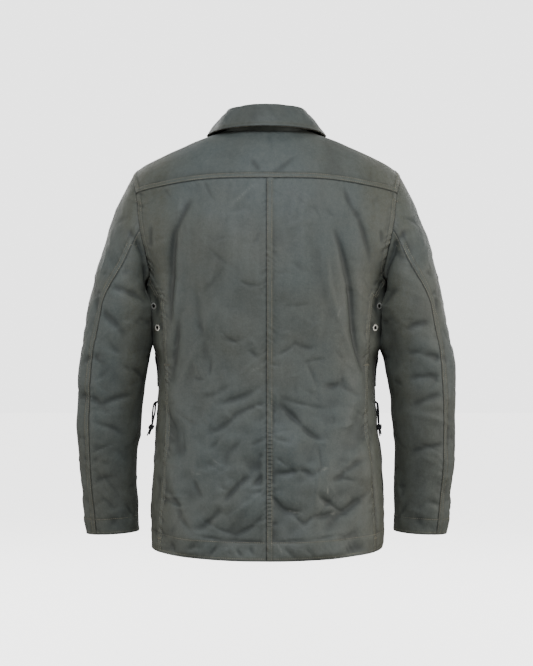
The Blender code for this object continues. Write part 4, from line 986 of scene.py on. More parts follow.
def laid_curve(name, line, diameter, closed=False):
    """A round cord along a line of points."""
    curve = bpy.data.curves.new(name, "CURVE")
    curve.dimensions = "3D"
    curve.bevel_depth = diameter / 2
    curve.bevel_resolution = 3
    curve.use_fill_caps = True
    spline = curve.splines.new("POLY")
    spline.points.add(len(line) - 1)
    for point, place in zip(spline.points, line):
        point.co = (*place, 1.0)
    spline.use_smooth = True
    spline.use_cyclic_u = closed
    cord = bpy.data.objects.new(name, curve)
    bpy.context.scene.collection.objects.link(cord)
    return cord


def tie_knot(label):
    """The knot that the two legs are tied in, and the two cut ends that hang out of it."""
    middle, end = (np.array(place) / 1000 for place in KNOTS[label])
    down = unit(end - middle)
    across = unit(np.cross(down, (0.0, 1.0, 0.0)))
    through = np.cross(across, down)
    turn = np.linspace(0, 2 * np.pi, 72, endpoint=False)
    round_x = np.sin(turn) + 2 * np.sin(2 * turn)
    round_y = np.cos(turn) - 2 * np.cos(2 * turn)
    loops = middle + KNOT_RADIUS * (round_x[:, None] * across + round_y[:, None] * through) \
        + KNOT_RISE * np.sin(3 * turn)[:, None] * down
    parts = [laid_curve("knot_turns_" + label, loops, CORD_DIAMETER, closed=True)]
    length = float(np.linalg.norm(end - middle))
    for side in (1, -1):
        along = np.linspace(0, 1, 14)
        aside = side * (0.0010 + 0.0004 * along)
        short = 1.0 if side > 0 else 0.84
        tail = middle + down * (along * length * short)[:, None] + across * aside[:, None] \
            + through * (side * 0.0005 * np.sin(3 * along))[:, None]
        parts.append(laid_curve("knot_tail_" + label + str(side), tail, TAIL_DIAMETER))
    bpy.ops.object.select_all(action="DESELECT")
    for part in parts:
        part.select_set(True)
    bpy.context.view_layer.objects.active = parts[0]
    bpy.ops.object.convert(target="MESH")
    bpy.ops.object.join()
    knot = bpy.context.object
    knot.name = "knot_tied_" + label
    knot.data.materials.append(CORD)
    knot.data.shade_smooth()
    declare(knot, "black_cord", "knot_" + label)
    return knot


def hang_cords():
    """The two waist cords, each as two legs and the knot at their ends."""
    for label in ("left", "right"):
        knot = tie_knot(label)
        for leg in ("a", "b"):
            name = "cord_" + label + "_" + leg
            aside = LEG_APART if leg == "a" else -LEG_APART
            line = smooth_route(CORD_LEGS[name], LEG_POINTS) + (0, aside, 0)
            cord = laid_curve("waist_" + name, line, CORD_DIAMETER)
            cord.data.materials.append(CORD)
            declare(cord, "black_cord", name)
            length = float(distance_along(line)[-1])


hang_cords()


# ---------------------------------------------------------------- the torso's panels
FELL = (0.0010, 0.0104)      # how far a felled seam stands up, and its width
FELL_ROWS = (0.0022, 0.0089)
HEM_FOLD = (0.0006, 0.0325)
HEM_ROWS = (0.0048, 0.0318)
FELLED = {"lap": FELL, "rows": FELL_ROWS}
HEMMED = {"lap": HEM_FOLD, "rows": HEM_ROWS, "rolled": 0.0007}
LADDER_SHADE_HEIGHTS = (-0.690, -0.495)    # where the centre back seam gets painted bands of shade, as if drawn up, from and to
# The underarm vents: turn, height, and how far the cloth round each leans to the back.
VENTS = ((math.radians(66.0), -0.2962, 0.50), (math.radians(63.2), -0.3342, 0.30))
CORD_EYELET = (math.radians(85.0), -0.4650)
EYELETS = {"vent_upper": VENTS[0][:2], "vent_lower": VENTS[1][:2], "cord_eyelet": CORD_EYELET}


def places_of(turn, height):
    turn, height = np.broadcast_arrays(turn, height)
    return np.stack([turn, height], -1).astype(float)


def side_line():
    """The side seam's places, from the hem to the armhole."""
    corner_turn, corner_height = armhole(SIDE_ANGLE)
    heights = np.linspace(HEM_HEIGHT, float(corner_height), 240)
    turns = turn_of_side_seam(heights)
    turns[-1] = corner_turn
    heights[0] = hem_height(turns[0])
    return places_of(turns, heights)


def arm_line(start, end):
    return places_of(*armhole(np.linspace(start, end, 160)))


def hem_line(turns):
    return places_of(turns, hem_height(turns))


def yoke_line(start, end, count):
    turns = np.linspace(start, end, count)
    return places_of(turns, yoke_height(turns))


def neck_line(start, end, count):
    """Places along the neck seam, between two turns in degrees."""
    turns = np.radians(np.linspace(start, end, count))
    return places_of(turns, neck_height(np.degrees(turns)))


def sided(places, side):
    return places * (side, 1)


def make_back(side, label, over):
    """A back panel; the one that lies over the other carries the centre seam's stitches."""
    edge = np.concatenate([side_line(), arm_line(SIDE_ANGLE, YOKE_BACK_ANGLE)[1:]])
    foot, head = hem_height(edge[:, 0]), yoke_height(edge[:, 0])
    share = (edge[:, 1] - foot) / (head - foot)
    rows = spread(0.645, 0.0026)
    edge_turn = np.interp(rows, share, edge[:, 0])
    turn = edge_turn[:, None] * spread(0.235, 0.0026)[None, :]
    height = blend(hem_height(turn), yoke_height(turn), rows[:, None])
    corner = float(armhole(YOKE_BACK_ANGLE)[0])
    middle_heights = np.linspace(float(hem_height(0)), float(yoke_height(0)), 200)
    centre = dict(FELLED, ladder_shade=LADDER_SHADE_HEIGHTS) if over else {}
    hem = hem_line(np.linspace(0, turn_of_side_seam(HEM_HEIGHT), 160))
    edges = [
        Edge(sided(yoke_line(0, corner, 200), side), pucker=0.00025),
        Edge(places_of(0, middle_heights), pucker=0.00045, **centre),
        Edge(sided(side_line(), side), pucker=0.0008, gather=0.013, **FELLED),
        Edge(sided(arm_line(SIDE_ANGLE, YOKE_BACK_ANGLE), side), pucker=0.0010, gather=0.014,
             **FELLED),
        Edge(sided(hem, side), pucker=0.0003, gather=0.017, **HEMMED),
    ]
    return Cloth("back_" + label, torso_form, sided(places_of(turn, height), side),
                 torso_creases, edges, seed=1 + side)


def make_yoke():
    corner = float(armhole(YOKE_BACK_ANGLE)[0])
    seam_turns = np.linspace(0, corner, 70)
    arm = arm_line(YOKE_BACK_ANGLE, YOKE_FRONT_ANGLE - 360)[::4]
    out_turns = np.concatenate([seam_turns, arm[1:, 0]])
    out_heights = np.concatenate([yoke_height(seam_turns), arm[1:, 1]])
    in_turns = out_turns * math.radians(YOKE_NECK_TURN) / out_turns[-1]
    in_heights = neck_height(np.degrees(in_turns))
    share = spread(0.14)[:, None]
    turn = blend(in_turns[None], out_turns[None], share)
    height = blend(in_heights[None], out_heights[None], share)
    turn = np.concatenate([-turn[:, :0:-1], turn], 1)
    height = np.concatenate([height[:, :0:-1], height], 1)
    edges = [
        Edge(yoke_line(-corner, corner, 400), lap=(0.0010, 0.0097), rows=(0.0023, 0.0083),
             pucker=0.0002),
        Edge(neck_line(-YOKE_NECK_TURN, YOKE_NECK_TURN, 300), pucker=0.0002, rolled=0),
    ]
    for side in (1, -1):
        for line in (arm_line(YOKE_BACK_ANGLE, YOKE_FRONT_ANGLE - 360), front_seam_line()):
            edges.append(Edge(sided(line, side), pucker=0.0003, **FELLED))
    return Cloth("yoke", torso_form, places_of(turn, height), torso_creases, edges, seed=5)


def front_seam_line():
    arm_turn, arm_height = armhole(YOKE_FRONT_ANGLE)
    share = np.linspace(0, 1, 160)
    return places_of(blend(float(arm_turn), math.radians(YOKE_NECK_TURN), share),
                     blend(float(arm_height), float(neck_height(YOKE_NECK_TURN)), share))


def patch(left, right, bottom, top, v, u):
    """Places inside four edges, blended from all of them."""
    u, v = u[None, :, None], v[:, None, None]
    sides = left[:, None] * (1 - u) + right[:, None] * u
    ends = bottom[None] * (1 - v) + top[None] * v
    corners = left[0] * (1 - u) * (1 - v) + right[0] * u * (1 - v) \
        + left[-1] * (1 - u) * v + right[-1] * u * v
    return sides + ends - corners


def by_index(values, index):
    """A smooth curve through a row of values, read by their numbers."""
    return read([(k, value) for k, value in enumerate(values)], 1, index)


def lower_front(row_index, column_index):
    """Places on a front below the chest, by its rows and columns counted from the side's foot."""
    corner_turn, corner_height = armhole(SIDE_ANGLE)
    heights = np.append(SIDE_HEIGHTS, corner_height)
    turns = turn_of_side_seam(heights)
    turns[-1] = corner_turn
    coarse = np.stack([turns, heights], 1)
    coarse[0, 1] = hem_height(turns[0])
    length = distance_along(coarse)
    v = np.interp(row_index, range(len(length)), length / length[-1])
    height = np.interp(row_index, range(len(heights)), heights)
    left = places_of(turn_of_side_seam(height), height)
    left[row_index == 0, 1] = coarse[0, 1]
    left[row_index == len(heights) - 1, 0] = corner_turn
    hem_turns = np.radians(by_index(HEM_TURNS, column_index))
    first = np.clip(1 - column_index, 0, 1)
    hem_turns = blend(hem_turns, turns[0], first)
    bottom = hem_line(hem_turns)
    notch_turn, notch_height = armhole(NOTCH_ANGLE)
    run = armhole(np.interp(column_index, (0, NOTCH_COLUMNS), (SIDE_ANGLE, NOTCH_ANGLE)))
    chest = np.radians(by_index((math.degrees(notch_turn),) + CHEST_TURNS,
                                column_index - NOTCH_COLUMNS))
    level = blend(notch_height, CHEST_HEIGHT, ease((chest - notch_turn) / (math.pi - notch_turn)))
    inside = column_index <= NOTCH_COLUMNS
    top = places_of(np.where(inside, run[0], chest), np.where(inside, run[1], level))
    share = (left[:, 1] - coarse[0, 1]) / (corner_height - coarse[0, 1])
    foot = float(hem_height(np.array(math.pi)))
    right = places_of(np.full(len(v), math.pi), blend(foot, CHEST_HEIGHT, share))
    return patch(left, right, bottom, top, v, column_index / (len(HEM_TURNS) - 1)), top


def make_front(side, label):
    """A front: the grid below the chest, and the part above it from the armhole's notch."""
    rows = spread(0.482) * len(SIDE_HEIGHTS)
    columns = np.concatenate([
        np.linspace(0, NOTCH_COLUMNS, 30),
        NOTCH_COLUMNS + np.linspace(0, SEAM_COLUMNS, 46)[1:],
        NOTCH_COLUMNS + SEAM_COLUMNS + np.linspace(0, NECK_COLUMNS, 58)[1:]])
    columns = np.insert(columns, (1, 1), (0.05, 0.10))
    lower, chest = lower_front(rows, columns)
    notch = int(np.searchsorted(columns, NOTCH_COLUMNS - 1e-6))
    arm_rows = spread(0.17)
    arm = places_of(*armhole(blend(NOTCH_ANGLE, YOKE_FRONT_ANGLE, arm_rows)))
    right_columns = columns[notch:] - NOTCH_COLUMNS
    seam_share = np.interp(right_columns, range(SEAM_COLUMNS + 1), (0, 0.30, 0.55, 0.78, 1.0))
    neck_turns = by_index(NECK_FRONT_TURNS, right_columns - SEAM_COLUMNS)
    neck = places_of(np.radians(neck_turns), neck_height(neck_turns))
    seam = places_of(blend(arm[-1, 0], math.radians(YOKE_NECK_TURN), seam_share),
                     blend(arm[-1, 1], float(neck_height(YOKE_NECK_TURN)), seam_share))
    top = np.where((right_columns <= SEAM_COLUMNS)[:, None], seam, neck)
    length = distance_along(arm)
    v = length / length[-1]
    right = places_of(np.full(len(v), math.pi), blend(chest[-1, 1], top[-1, 1], v))
    u = right_columns / (SEAM_COLUMNS + NECK_COLUMNS)
    upper = patch(arm, right, chest[notch:], top, v, u)
    count = len(rows)
    places = np.zeros((count + len(upper) - 1, len(columns), 2))
    places[:count] = lower
    places[count:, :notch] = lower[-1, :notch]
    places[count:, notch:] = upper[1:]
    mask = np.ones((len(places) - 1, len(columns) - 1), bool)
    mask[count - 1:, :notch] = False
    middle = np.linspace(float(hem_height(np.array(math.pi))), float(neck_height(180)), 300)
    hem = hem_line(np.linspace(turn_of_side_seam(HEM_HEIGHT), math.pi, 200))
    edges = [
        Edge(sided(side_line(), side), pucker=0.0006, gather=0.013),
        Edge(sided(arm_line(SIDE_ANGLE, YOKE_FRONT_ANGLE), side), pucker=0.0006, gather=0.014,
             **FELLED),
        Edge(sided(front_seam_line(), side), pucker=0.0003),
        Edge(sided(neck_line(YOKE_NECK_TURN, 180, 160), side), pucker=0.0002),
        Edge(sided(places_of(math.pi, middle), side), pucker=0, rolled=0),
        Edge(sided(hem, side), pucker=0.0008, gather=0.021, **HEMMED),
    ]
    tilts = [(side * turn, height, slope) for turn, height, slope in VENTS]
    return Cloth("front_" + label, torso_form, sided(places, side), torso_creases, edges,
                 mask=mask, seed=7 + side, tilts=tilts)


# ---------------------------------------------------------------- the sleeves
def sleeve_surface(first, last):
    """A sleeve piece's form: across is from one seam to the other, down as in the form."""
    def surface(across, down):
        hole = blend(first[0], last[0], across)
        ring = blend(seam_angle(first, down), seam_angle(last, down), across)
        return sleeve_form(down, hole, ring)
    return surface


def make_sleeve(piece, label, creases, seed, bulge):
    """The top or under piece of a sleeve, made on the left; the right one is mirrored."""
    first, last = FRONT_SEAM_ANGLES, BACK_SEAM_ANGLES
    top = piece == "top"
    if not top:
        first, last = BACK_SEAM_ANGLES, tuple(a + 360 for a in FRONT_SEAM_ANGLES)
    surface = sleeve_surface(first, last)
    head = spread(0.22) if top else spread(0.13)
    head = head[:-4]
    lower = spread(0.405)
    lower = np.concatenate([[0], lower[lower > 0.012]])
    down = np.concatenate([head, 1 + lower])
    across = spread(0.26 if top else 0.17)
    places = places_of(across[None, :], down[:, None])
    run = np.concatenate([np.linspace(0, 1, 120), np.linspace(1, 2, 160)[1:]])
    cuff = 2 - 0.0003            # just inside the end, where the form still has a slope
    lap, rows = ((0.0006, FELL[1]), FELL_ROWS) if top else ((0, 0), ())
    edges = [
        Edge(places_of(np.linspace(0, 1, 200), 0.0), pucker=0.0005),
        Edge(places_of(1.0 if top else 0.0, run), lap=lap, rows=rows, pucker=0.0004),
        Edge(places_of(0.0 if top else 1.0, run), lap=lap, rows=rows, pucker=0.0003),
        Edge(places_of(np.linspace(0, 1, 160), cuff), lap=(0.0005, 0.0300), rows=(0.0045, 0.0295),
             pucker=0.0004, rolled=0.0007),
    ]
    return Cloth("sleeve_" + piece + "_" + label, surface, places,
                 sleeve_creases(creases, seed, bulge), edges, seed=seed)


# ---------------------------------------------------------------- the collar
FOLD_OUT, FOLD_HEIGHT, EDGE_OUT, EDGE_HEIGHT = range(1, 5)
COLLAR = (
    (0, -0.0110, 0.0545, 0.0165, 0.0138),
    (25, -0.0110, 0.0529, 0.0168, 0.0130),
    (45, -0.0110, 0.0508, 0.0184, 0.0114),
    (70, -0.0110, 0.0470, 0.0230, 0.0090),
    (90, -0.0114, 0.0420, 0.0278, 0.0082),
    (118, -0.0105, 0.0310, 0.0265, 0.0025),
    (136, -0.0070, 0.0210, 0.0280, -0.0085),
    (156, -0.0020, 0.0000, 0.0290, -0.0500),
    (172, -0.0010, -0.0210, 0.0300, -0.0870),
    (180, -0.0010, -0.0270, 0.0300, -0.1010),
)
COLLAR_END_TURN = 176
COLLAR_WALL = 0.0021
FOLD_SECTION = ((0.0000, -0.0085), (0.0000, -0.0040), (0.0014, -0.0012), (0.0040, 0.0000),
                (0.0066, -0.0012), (0.0084, -0.0045))
FALL_BOW = 0.0022
SEAM_TURN = (0.0026, 0.0045)     # how far in and down the stand's turning lies, behind the yoke
STAND_DROP = 0.0086              # from the top of the fold down to the stand's own edge
COLLAR_ROWS = (0.0055,)


def collar_surface(section):
    """The collar's form: across is the turn in radians, down runs along its section."""
    def surface(turn, down):
        size = np.degrees(np.abs(turn))
        height = neck_height(size)
        base = torso_form(turn, height)
        out = unit((base - (0, MIDDLE_Y, 0)) * (1, 1, 0))
        outward, up = section(size, down)
        point = base * (1, 1, 0) + out * outward[..., None]
        point[..., 2] = up
        return point
    return surface


def fall_section(size, down):
    """Out from the neck seam and up: down is 0 to 1 over the fold and 1 to 2 on the fall."""
    fold = np.clip(down, 0, 1) * (len(FOLD_SECTION) - 1)
    rows = [(k,) + step for k, step in enumerate(FOLD_SECTION)]
    fold_out, fold_up = read(COLLAR, FOLD_OUT, size), read(COLLAR, FOLD_HEIGHT, size)
    start_out, start_up = FOLD_SECTION[-1]
    fall = np.clip(down - 1, 0, 1)
    bow = FALL_BOW * np.sin(np.pi * fall)
    outward = np.where(down < 1, fold_out + read(rows, 1, fold),
                       blend(fold_out + start_out, read(COLLAR, EDGE_OUT, size), fall) + bow)
    up = np.where(down < 1, fold_up + read(rows, 2, fold),
                  blend(fold_up + start_up, read(COLLAR, EDGE_HEIGHT, size), fall) + bow)
    return outward, up


def stand_section(size, down):
    fold_out, fold_up = read(COLLAR, FOLD_OUT, size), read(COLLAR, FOLD_HEIGHT, size)
    return (blend(-SEAM_TURN[0], fold_out + COLLAR_WALL, down),
            blend(neck_height(size) - SEAM_TURN[1], fold_up - STAND_DROP, down))


def collar_creases(points):
    return -0.00045 * swell(points, 0.060, 21) - 0.00018 * swell(points, 0.018, 22)


def make_collar():
    """The collar's fold and fall in one cloth, and the stand inside it."""
    end = math.radians(COLLAR_END_TURN)
    turns = np.sort(np.concatenate([np.linspace(-end, end, 190), [-end + 0.006, end - 0.006]]))
    down = np.concatenate([np.linspace(0, 1, 16), 1 + spread(0.05, 0.0030)[1:]])
    surface = collar_surface(fall_section)
    long = np.linspace(-end, end, 400)
    fall_rows = np.linspace(1, 2, 60)
    edges = [Edge(places_of(long, 2.0), rows=COLLAR_ROWS, pucker=0.00018, rolled=0.0006)] + [
        Edge(places_of(turn, fall_rows), rows=COLLAR_ROWS, pucker=0.0001, rolled=0.0006)
        for turn in (end, -end)]
    fall = Cloth("collar_fall", surface, places_of(turns[None, :], down[:, None]), collar_creases,
                 edges, seed=31)
    stand_form = collar_surface(stand_section)
    stand = Cloth("collar_stand", stand_form,
                  places_of(turns[None, :], spread(0.035, 0.003)[:, None]), collar_creases,
                  [Edge(places_of(long, 0.0), pucker=0.0001)], seed=32)
    return fall, stand


# ---------------------------------------------------------------- laid on the fronts
LAID = WALL + 0.0006         # the cloth's own wall, and the air below it
POCKET_ROWS, POCKET_COLUMNS, FLAP_ROWS = (1, 7), (4, 13), (6, 8)
POCKET_STAND_OFF = 0.0042
ROUNDED = 0.09               # how far a lower corner is rounded, as a share of the height
DOUBLE_ROWS = (0.0022, 0.0085)
PLACKET_TURNS = ((-0.760, 8.6), (-0.600, 8.8), (-0.427, 9.6), (-0.247, 7.4), (-0.110, 8.4),
                 (-0.050, 11.0))


def laid_places(rows, columns, side):
    """Places over a part of a front, with its two lower corners rounded."""
    up, across = spread((rows[1] - rows[0]) * 0.036)[:, None], spread(0.17)[None, :]
    up = up + (1 - up) * ROUNDED * np.abs(2 * across - 1) ** 9
    across = across + 0 * up
    row = (blend(rows[0], rows[1], up)).ravel()
    column = (blend(columns[0], columns[1], across)).ravel()
    return sided(front_places(row, column).reshape(up.shape + (2,)), side)


def front_places(row, column):
    """Places on the left front by row and column, each read on its own."""
    rows, columns = np.arange(0, 9, 0.25), np.arange(3, 14.01, 0.25)
    grid = lower_front(rows, columns)[0]
    r, c = row * 4, (column - 3) * 4
    r0, c0 = np.clip(r.astype(int), 0, len(rows) - 2), np.clip(c.astype(int), 0, len(columns) - 2)
    u, v = (r - r0)[:, None], (c - c0)[:, None]
    return blend(blend(grid[r0, c0], grid[r0 + 1, c0], u),
                 blend(grid[r0, c0 + 1], grid[r0 + 1, c0 + 1], u), v)


def stitched_sides(places, pucker):
    """The two side edges of a cloth that is laid on, each with two rows of stitches."""
    return [Edge(places[:, column], rows=DOUBLE_ROWS, pucker=pucker) for column in (0, -1)]


def make_pocket(front, side, label):
    """A bellows pocket and the flap over its mouth."""
    places = laid_places(POCKET_ROWS, POCKET_COLUMNS, side)
    edges = stitched_sides(places, 0.0002) + [
        Edge(places[0], rows=DOUBLE_ROWS, pucker=0.0002), Edge(places[-1], pucker=0.0002)]

    def stood_off(points):
        near = np.minimum.reduce([nearest(points, edge.line)[0] for edge in edges[:3]])
        return front.relief(points) + LAID + POCKET_STAND_OFF * ease(near / 0.045)

    pocket = Cloth("pocket_" + label, torso_form, places, None, edges, seed=51, carried=stood_off)
    places = laid_places(FLAP_ROWS, POCKET_COLUMNS, side)
    flap_edges = stitched_sides(places, 0.0002) + [
        Edge(places[0], rows=DOUBLE_ROWS, pucker=0.0003),
        Edge(places[-1], rows=DOUBLE_ROWS, pucker=0.0002)]

    def over_pocket(points):
        top = nearest(points, flap_edges[3].line)[0]
        return front.relief(points) + LAID \
            + (stood_off(points) - front.relief(points)) * ease(top / 0.022)

    return [pocket, Cloth("flap_" + label, torso_form, places, None, flap_edges, seed=53,
                          carried=over_pocket)]


def make_placket(left, right):
    """The storm placket down the centre front, over both fronts."""
    low = float(hem_height(np.array(math.pi)))
    height = blend(low + 0.0012, -0.0535, spread(0.66))
    half = np.radians(read(PLACKET_TURNS, 1, height))
    turn = math.pi + half[:, None] * blend(-1, 1, spread(0.062))[None, :]
    dip = 0.006 * ((turn - math.pi) / half[:, None]) ** 2 * ease((height[:, None] + 0.10) / 0.05)
    places = places_of(turn, height[:, None] + dip)
    edges = stitched_sides(places, 0.0003) + [
        Edge(places[0], rows=(0.0048,), pucker=0.0002), Edge(places[-1], pucker=0.0001)]

    def over_fronts(points):
        return np.where(points[..., 0] > 0, left.relief(points), right.relief(points)) + LAID

    return Cloth("placket", torso_form, places, None, edges, seed=57, carried=over_fronts)


# ---------------------------------------------------------------- studs and eyelets
# Profiles as (radius, height) in mm, from the cloth outwards; an eyelet's runs round to its start.
STUD_PROFILE = ((6.4, 0.0), (7.2, 0.1), (7.5, 0.6), (7.5, 1.2), (7.1, 1.7), (6.5, 1.85),
                (6.1, 1.70), (5.8, 1.75), (5.0, 2.15), (3.8, 2.55), (2.4, 2.85), (1.0, 2.98),
                (0.05, 3.0))
EYELET_PROFILE = ((5.7, -0.1), (5.8, 0.2), (5.6, 0.65), (5.1, 1.0), (4.5, 1.1), (3.9, 1.0),
                  (3.4, 0.65), (3.0, 0.1), (2.9, -0.6), (2.9, -3.0), (3.3, -3.4), (4.4, -3.5),
                  (4.6, -3.2), (3.5, -2.9), (3.25, -2.2), (3.25, -0.1))
STUD_COUNT, STUD_TOP, STUD_STEP = 6, -0.118, 0.105
STUD_LIFT, EYELET_LIFT = 0.0003, 0.0007      # how far out of the cloth their lowest rings lie


def turned(name, profile, steps, whole):
    """A stamped metal piece: one circle extruded through its profile."""
    bpy.ops.object.select_all(action="DESELECT")
    bpy.ops.mesh.primitive_circle_add(vertices=steps, radius=profile[0][0] / 1000,
                                      location=(0, 0, profile[0][1] / 1000))
    piece = bpy.context.object
    piece.name = name
    bpy.ops.object.transform_apply(location=True)
    bpy.ops.object.mode_set(mode="EDIT")
    bpy.ops.mesh.select_all(action="SELECT")
    for (radius, height), (next_radius, next_height) in zip(profile, profile[1:]):
        rise = (next_height - height) / 1000
        bpy.ops.mesh.extrude_region_move(TRANSFORM_OT_translate={"value": (0, 0, rise)})
        share = next_radius / radius
        bpy.ops.transform.resize(value=(share, share, 1))
    if whole:
        bpy.ops.mesh.select_all(action="SELECT")
        bpy.ops.mesh.select_non_manifold()
        bpy.ops.mesh.bridge_edge_loops()
    else:
        bpy.ops.mesh.merge(type="CENTER")
        bpy.ops.mesh.select_all(action="DESELECT")
        bpy.ops.mesh.select_non_manifold()
        bpy.ops.mesh.edge_face_add()
    bpy.ops.mesh.select_all(action="SELECT")
    bpy.ops.mesh.normals_make_consistent(inside=False)
    bpy.ops.object.mode_set(mode="OBJECT")
    bpy.ops.object.shade_smooth_by_angle(angle=math.radians(50))
    return piece


def set_in(pattern, node_name, place, direction, lift):
    """A copy of a metal piece, set on the cloth in place of its solid."""
    mesh = pattern.data.copy()
    turn = Vector(direction).to_track_quat("Z", "Y").to_matrix().to_4x4()
    mesh.transform(Matrix.Translation(Vector(place + direction * lift)) @ turn)
    new_object(node_name + "_metal", mesh, NICKEL, "nickel", node_name)


def set_metal(fronts, placket):
    stud = turned("stud_pattern", STUD_PROFILE, 40, whole=False)
    for k in range(STUD_COUNT):
        place, way = placket.seat(math.pi, STUD_TOP - STUD_STEP * k)
        set_in(stud, "stud_" + str(k + 1), place, way, STUD_LIFT)
    eyelet = turned("eyelet_pattern", EYELET_PROFILE, 36, whole=True)
    for front, side, label in fronts:
        for name, (turn, height) in EYELETS.items():
            place, way = front.seat(side * turn, height)
            set_in(eyelet, name + "_" + label, place, way, EYELET_LIFT)
    for pattern in (stud, eyelet):
        bpy.data.objects.remove(pattern)


# ---------------------------------------------------------------- stitches
STITCH_PITCH = 0.0038
STITCH_LENGTH = 0.0029
STITCH_RADIUS = 0.00034
ROW_TRIM = 0.003             # how far from a corner a row starts and ends
# Bar tacks across a side seam: height, and from and to beside the seam.
BAR_TACKS = ((-0.399, -0.004, 0.017), (-0.700, -0.002, 0.012))
BAR_STEPS, BAR_PITCH = (-0.0009, 0.0, 0.0009), 0.0030


def stitch_line(cloth, line, trim=ROW_TRIM, pitch=STITCH_PITCH):
    """Where the stitches of one row lie: points along it and the way out of the cloth."""
    points, out, rise = cloth.raised(line)
    points = points + out * rise[:, None]
    along = distance_along(points)
    at = np.arange(trim, along[-1] - trim, pitch / 4)
    return placed_along(at, along, points), unit(placed_along(at, along, out))


def bar_tacks(cloth, side):
    """Short bars of close stitches across a side seam."""
    rows = []
    for height, start, end in BAR_TACKS:
        seam = float(turn_of_side_seam(height))
        turns = np.linspace(seam - start / SIDE_REACH, seam - end / SIDE_REACH, 24)
        for step in BAR_STEPS:
            bar = sided(places_of(turns, height + step), side)
            rows.append(stitch_line(cloth, bar, 0.0, BAR_PITCH))
    return rows


def stitches_mesh(name, rows, mirror=False):
    """Short bars of thread, each dipping into the cloth at its ends."""
    steps = ((-0.50, -0.35), (-0.28, 0.55), (0.28, 0.55), (0.50, -0.35))
    corners, faces = [], []
    for points, out in rows:
        along = unit(np.gradient(points, axis=0))
        sideways = np.cross(along, out)
        for k in range(2, len(points) - 2, 4):
            start = len(corners)
            for share, rise in steps:
                middle = points[k] + along[k] * share * STITCH_LENGTH \
                    + out[k] * rise * STITCH_RADIUS
                for a, b in ((1, 0), (0, 0.9), (-1, 0), (0, -0.9)):
                    corners.append(middle + (sideways[k] * a + out[k] * b) * STITCH_RADIUS)
            for ring in range(3):
                for side in range(4):
                    low, high = start + 4 * ring, start + 4 * ring + 4
                    turn = (side + 1) % 4
                    faces.append((low + side, high + side, high + turn, low + turn))
            faces.append(tuple(start + side for side in range(4)))
            faces.append(tuple(start + 12 + side for side in (3, 2, 1, 0)))
    corners = np.array(corners)
    if mirror:
        corners = corners * (-1, 1, 1)
    mesh = bpy.data.meshes.new(name)
    mesh.from_pydata(corners.tolist(), [], faces)
    form = bmesh.new()
    form.from_mesh(mesh)
    bmesh.ops.recalc_face_normals(form, faces=form.faces)
    form.to_mesh(mesh)
    form.free()
    mesh.shade_smooth()
    return mesh


def sew(cloth, mirror=False, more=()):
    """Every row of stitches along a panel's edges, as one piece."""
    rows = list(more)
    towards = cloth.flat[cloth.flat.shape[0] // 2, cloth.flat.shape[1] // 2]
    for edge in cloth.edges:
        rows += [stitch_line(cloth, beside(cloth.surface, edge.places, distance, towards))
                 for distance in edge.rows]
    if rows:
        mesh = stitches_mesh(cloth.name + "_stitches", rows, mirror)
        new_object(cloth.name + "_stitches", mesh, THREAD, "waxed_cotton")


# ---------------------------------------------------------------- putting it together
def dress():
    """Make every panel, its stitches and its metal."""
    left, right = make_front(1, "left"), make_front(-1, "right")
    for front, side in ((left, 1), (right, -1)):
        eyes = [front.seat(side * turn, height)[0] for turn, height in EYELETS.values()]
        make_cloth(front, holes=eyes)
        sew(front)
    placket = make_placket(left, right)
    set_metal(((left, 1, "left"), (right, -1, "right")), placket)
    panels = [make_yoke(), placket] + list(make_collar())
    panels += make_pocket(left, 1, "left") + make_pocket(right, -1, "right")
    for cloth in panels:
        make_cloth(cloth)
        sew(cloth)
    for side, label in ((1, "left"), (-1, "right")):
        back = make_back(side, label, side < 0)
        make_cloth(back)
        sew(back, more=bar_tacks(back, side))
    for label, side, creases, seed, bulge in (("left", 1, SLEEVE_CREASES_LEFT, 41, 0.0030),
                                              ("right", -1, SLEEVE_CREASES_RIGHT, 47, 0.0062)):
        for piece in ("top", "under"):
            cloth = make_sleeve(piece, label, creases, seed, bulge)
            make_cloth(cloth, mirror=side < 0)
            sew(cloth, mirror=side < 0)


dress()


# ---------------------------------------------------------------- floor and light
WHITE = 2.9                # how bright the floor and the backdrop are
ROOM = 0.24                # how bright the room is on the jacket
FLOOR_HALF, FLOOR_HEIGHT = 14.0, -1.15
AIM = (0, 0, -0.35)
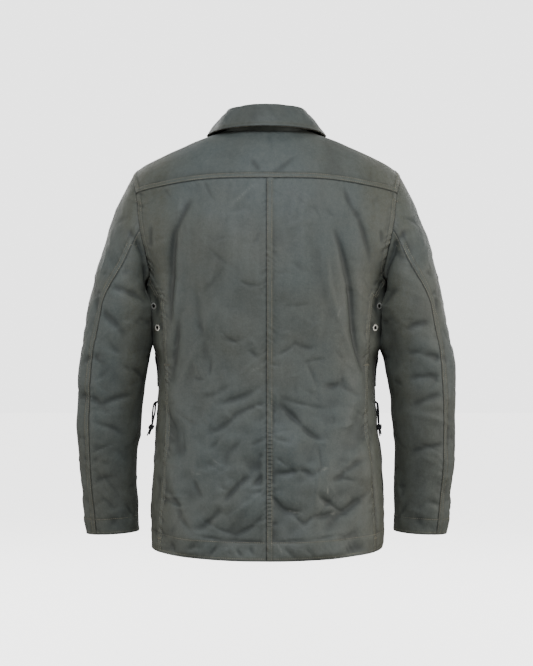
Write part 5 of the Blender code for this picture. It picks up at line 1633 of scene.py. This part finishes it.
# Softboxes above and beside the camera and weaker ones at the front: place, size, power, colour.
LIGHTS = {
    "over_camera": ((0.1, 3.2, 1.7), 1.6, 112, "f1f7ff"),
    "left_side": ((3.3, 1.0, -0.5), 2.0, 40, "fffaf2"),
    "right_side": ((-3.3, 1.0, -0.4), 2.0, 74, "fffaf2"),
    "top": ((0.0, 0.2, 2.4), 1.8, 10, "f6f9ff"),
    "front_left": ((1.9, -2.6, 1.0), 2.2, 52, "ffffff"),
    "front_right": ((-1.9, -2.6, 0.8), 2.2, 44, "ffffff"),
}


def add_stage():
    """A plain white floor. It lights nothing, so the jacket keeps its own dark sides."""
    mesh = bpy.data.meshes.new("floor")
    corners = [(x * FLOOR_HALF, y * FLOOR_HALF, FLOOR_HEIGHT)
               for x, y in ((-1, -1), (1, -1), (1, 1), (-1, 1))]
    mesh.from_pydata(corners, [], [(0, 1, 2, 3)])
    material, _, shader = start_material("white_floor")
    feed(shader, Base_Color=linear("f4f4f3"), Roughness=0.9, Emission_Color=linear("ffffff"),
         Emission_Strength=WHITE)
    mesh.materials.append(material)
    floor = bpy.data.objects.new("floor", mesh)
    floor.visible_diffuse = floor.visible_glossy = False
    bpy.context.scene.collection.objects.link(floor)


def add_lights():
    """The softboxes, a faint warm room, and a white backdrop that only the camera sees."""
    for name, (place, size, power, colour) in LIGHTS.items():
        data = bpy.data.lights.new(name, "AREA")
        data.shape, data.size, data.energy = "DISK", size, power
        data.color = linear(colour)[:3]
        light = bpy.data.objects.new(name, data)
        light.location = place
        way = np.array(AIM, float) - np.array(place, float)
        flat = math.hypot(way[0], way[1])
        light.rotation_euler = (math.atan2(flat, -way[2]), 0,
                                math.atan2(way[1], way[0]) - math.pi / 2)
        bpy.context.scene.collection.objects.link(light)
    world = bpy.data.worlds.new("studio")
    world.use_nodes = True
    tree = world.node_tree
    room = feed(tree.nodes["Background"], Color=linear("fff8ee"), Strength=ROOM)
    seen = node(tree, "ShaderNodeBackground", Color=linear("ffffff"), Strength=WHITE)
    ray = node(tree, "ShaderNodeLightPath")
    both = node(tree, "ShaderNodeMixShader", i0=ray.outputs["Is Camera Ray"],
                i1=room.outputs[0], i2=seen.outputs[0])
    feed(tree.nodes["World Output"], Surface=both.outputs[0])
    bpy.context.scene.world = world


add_stage()
add_lights()
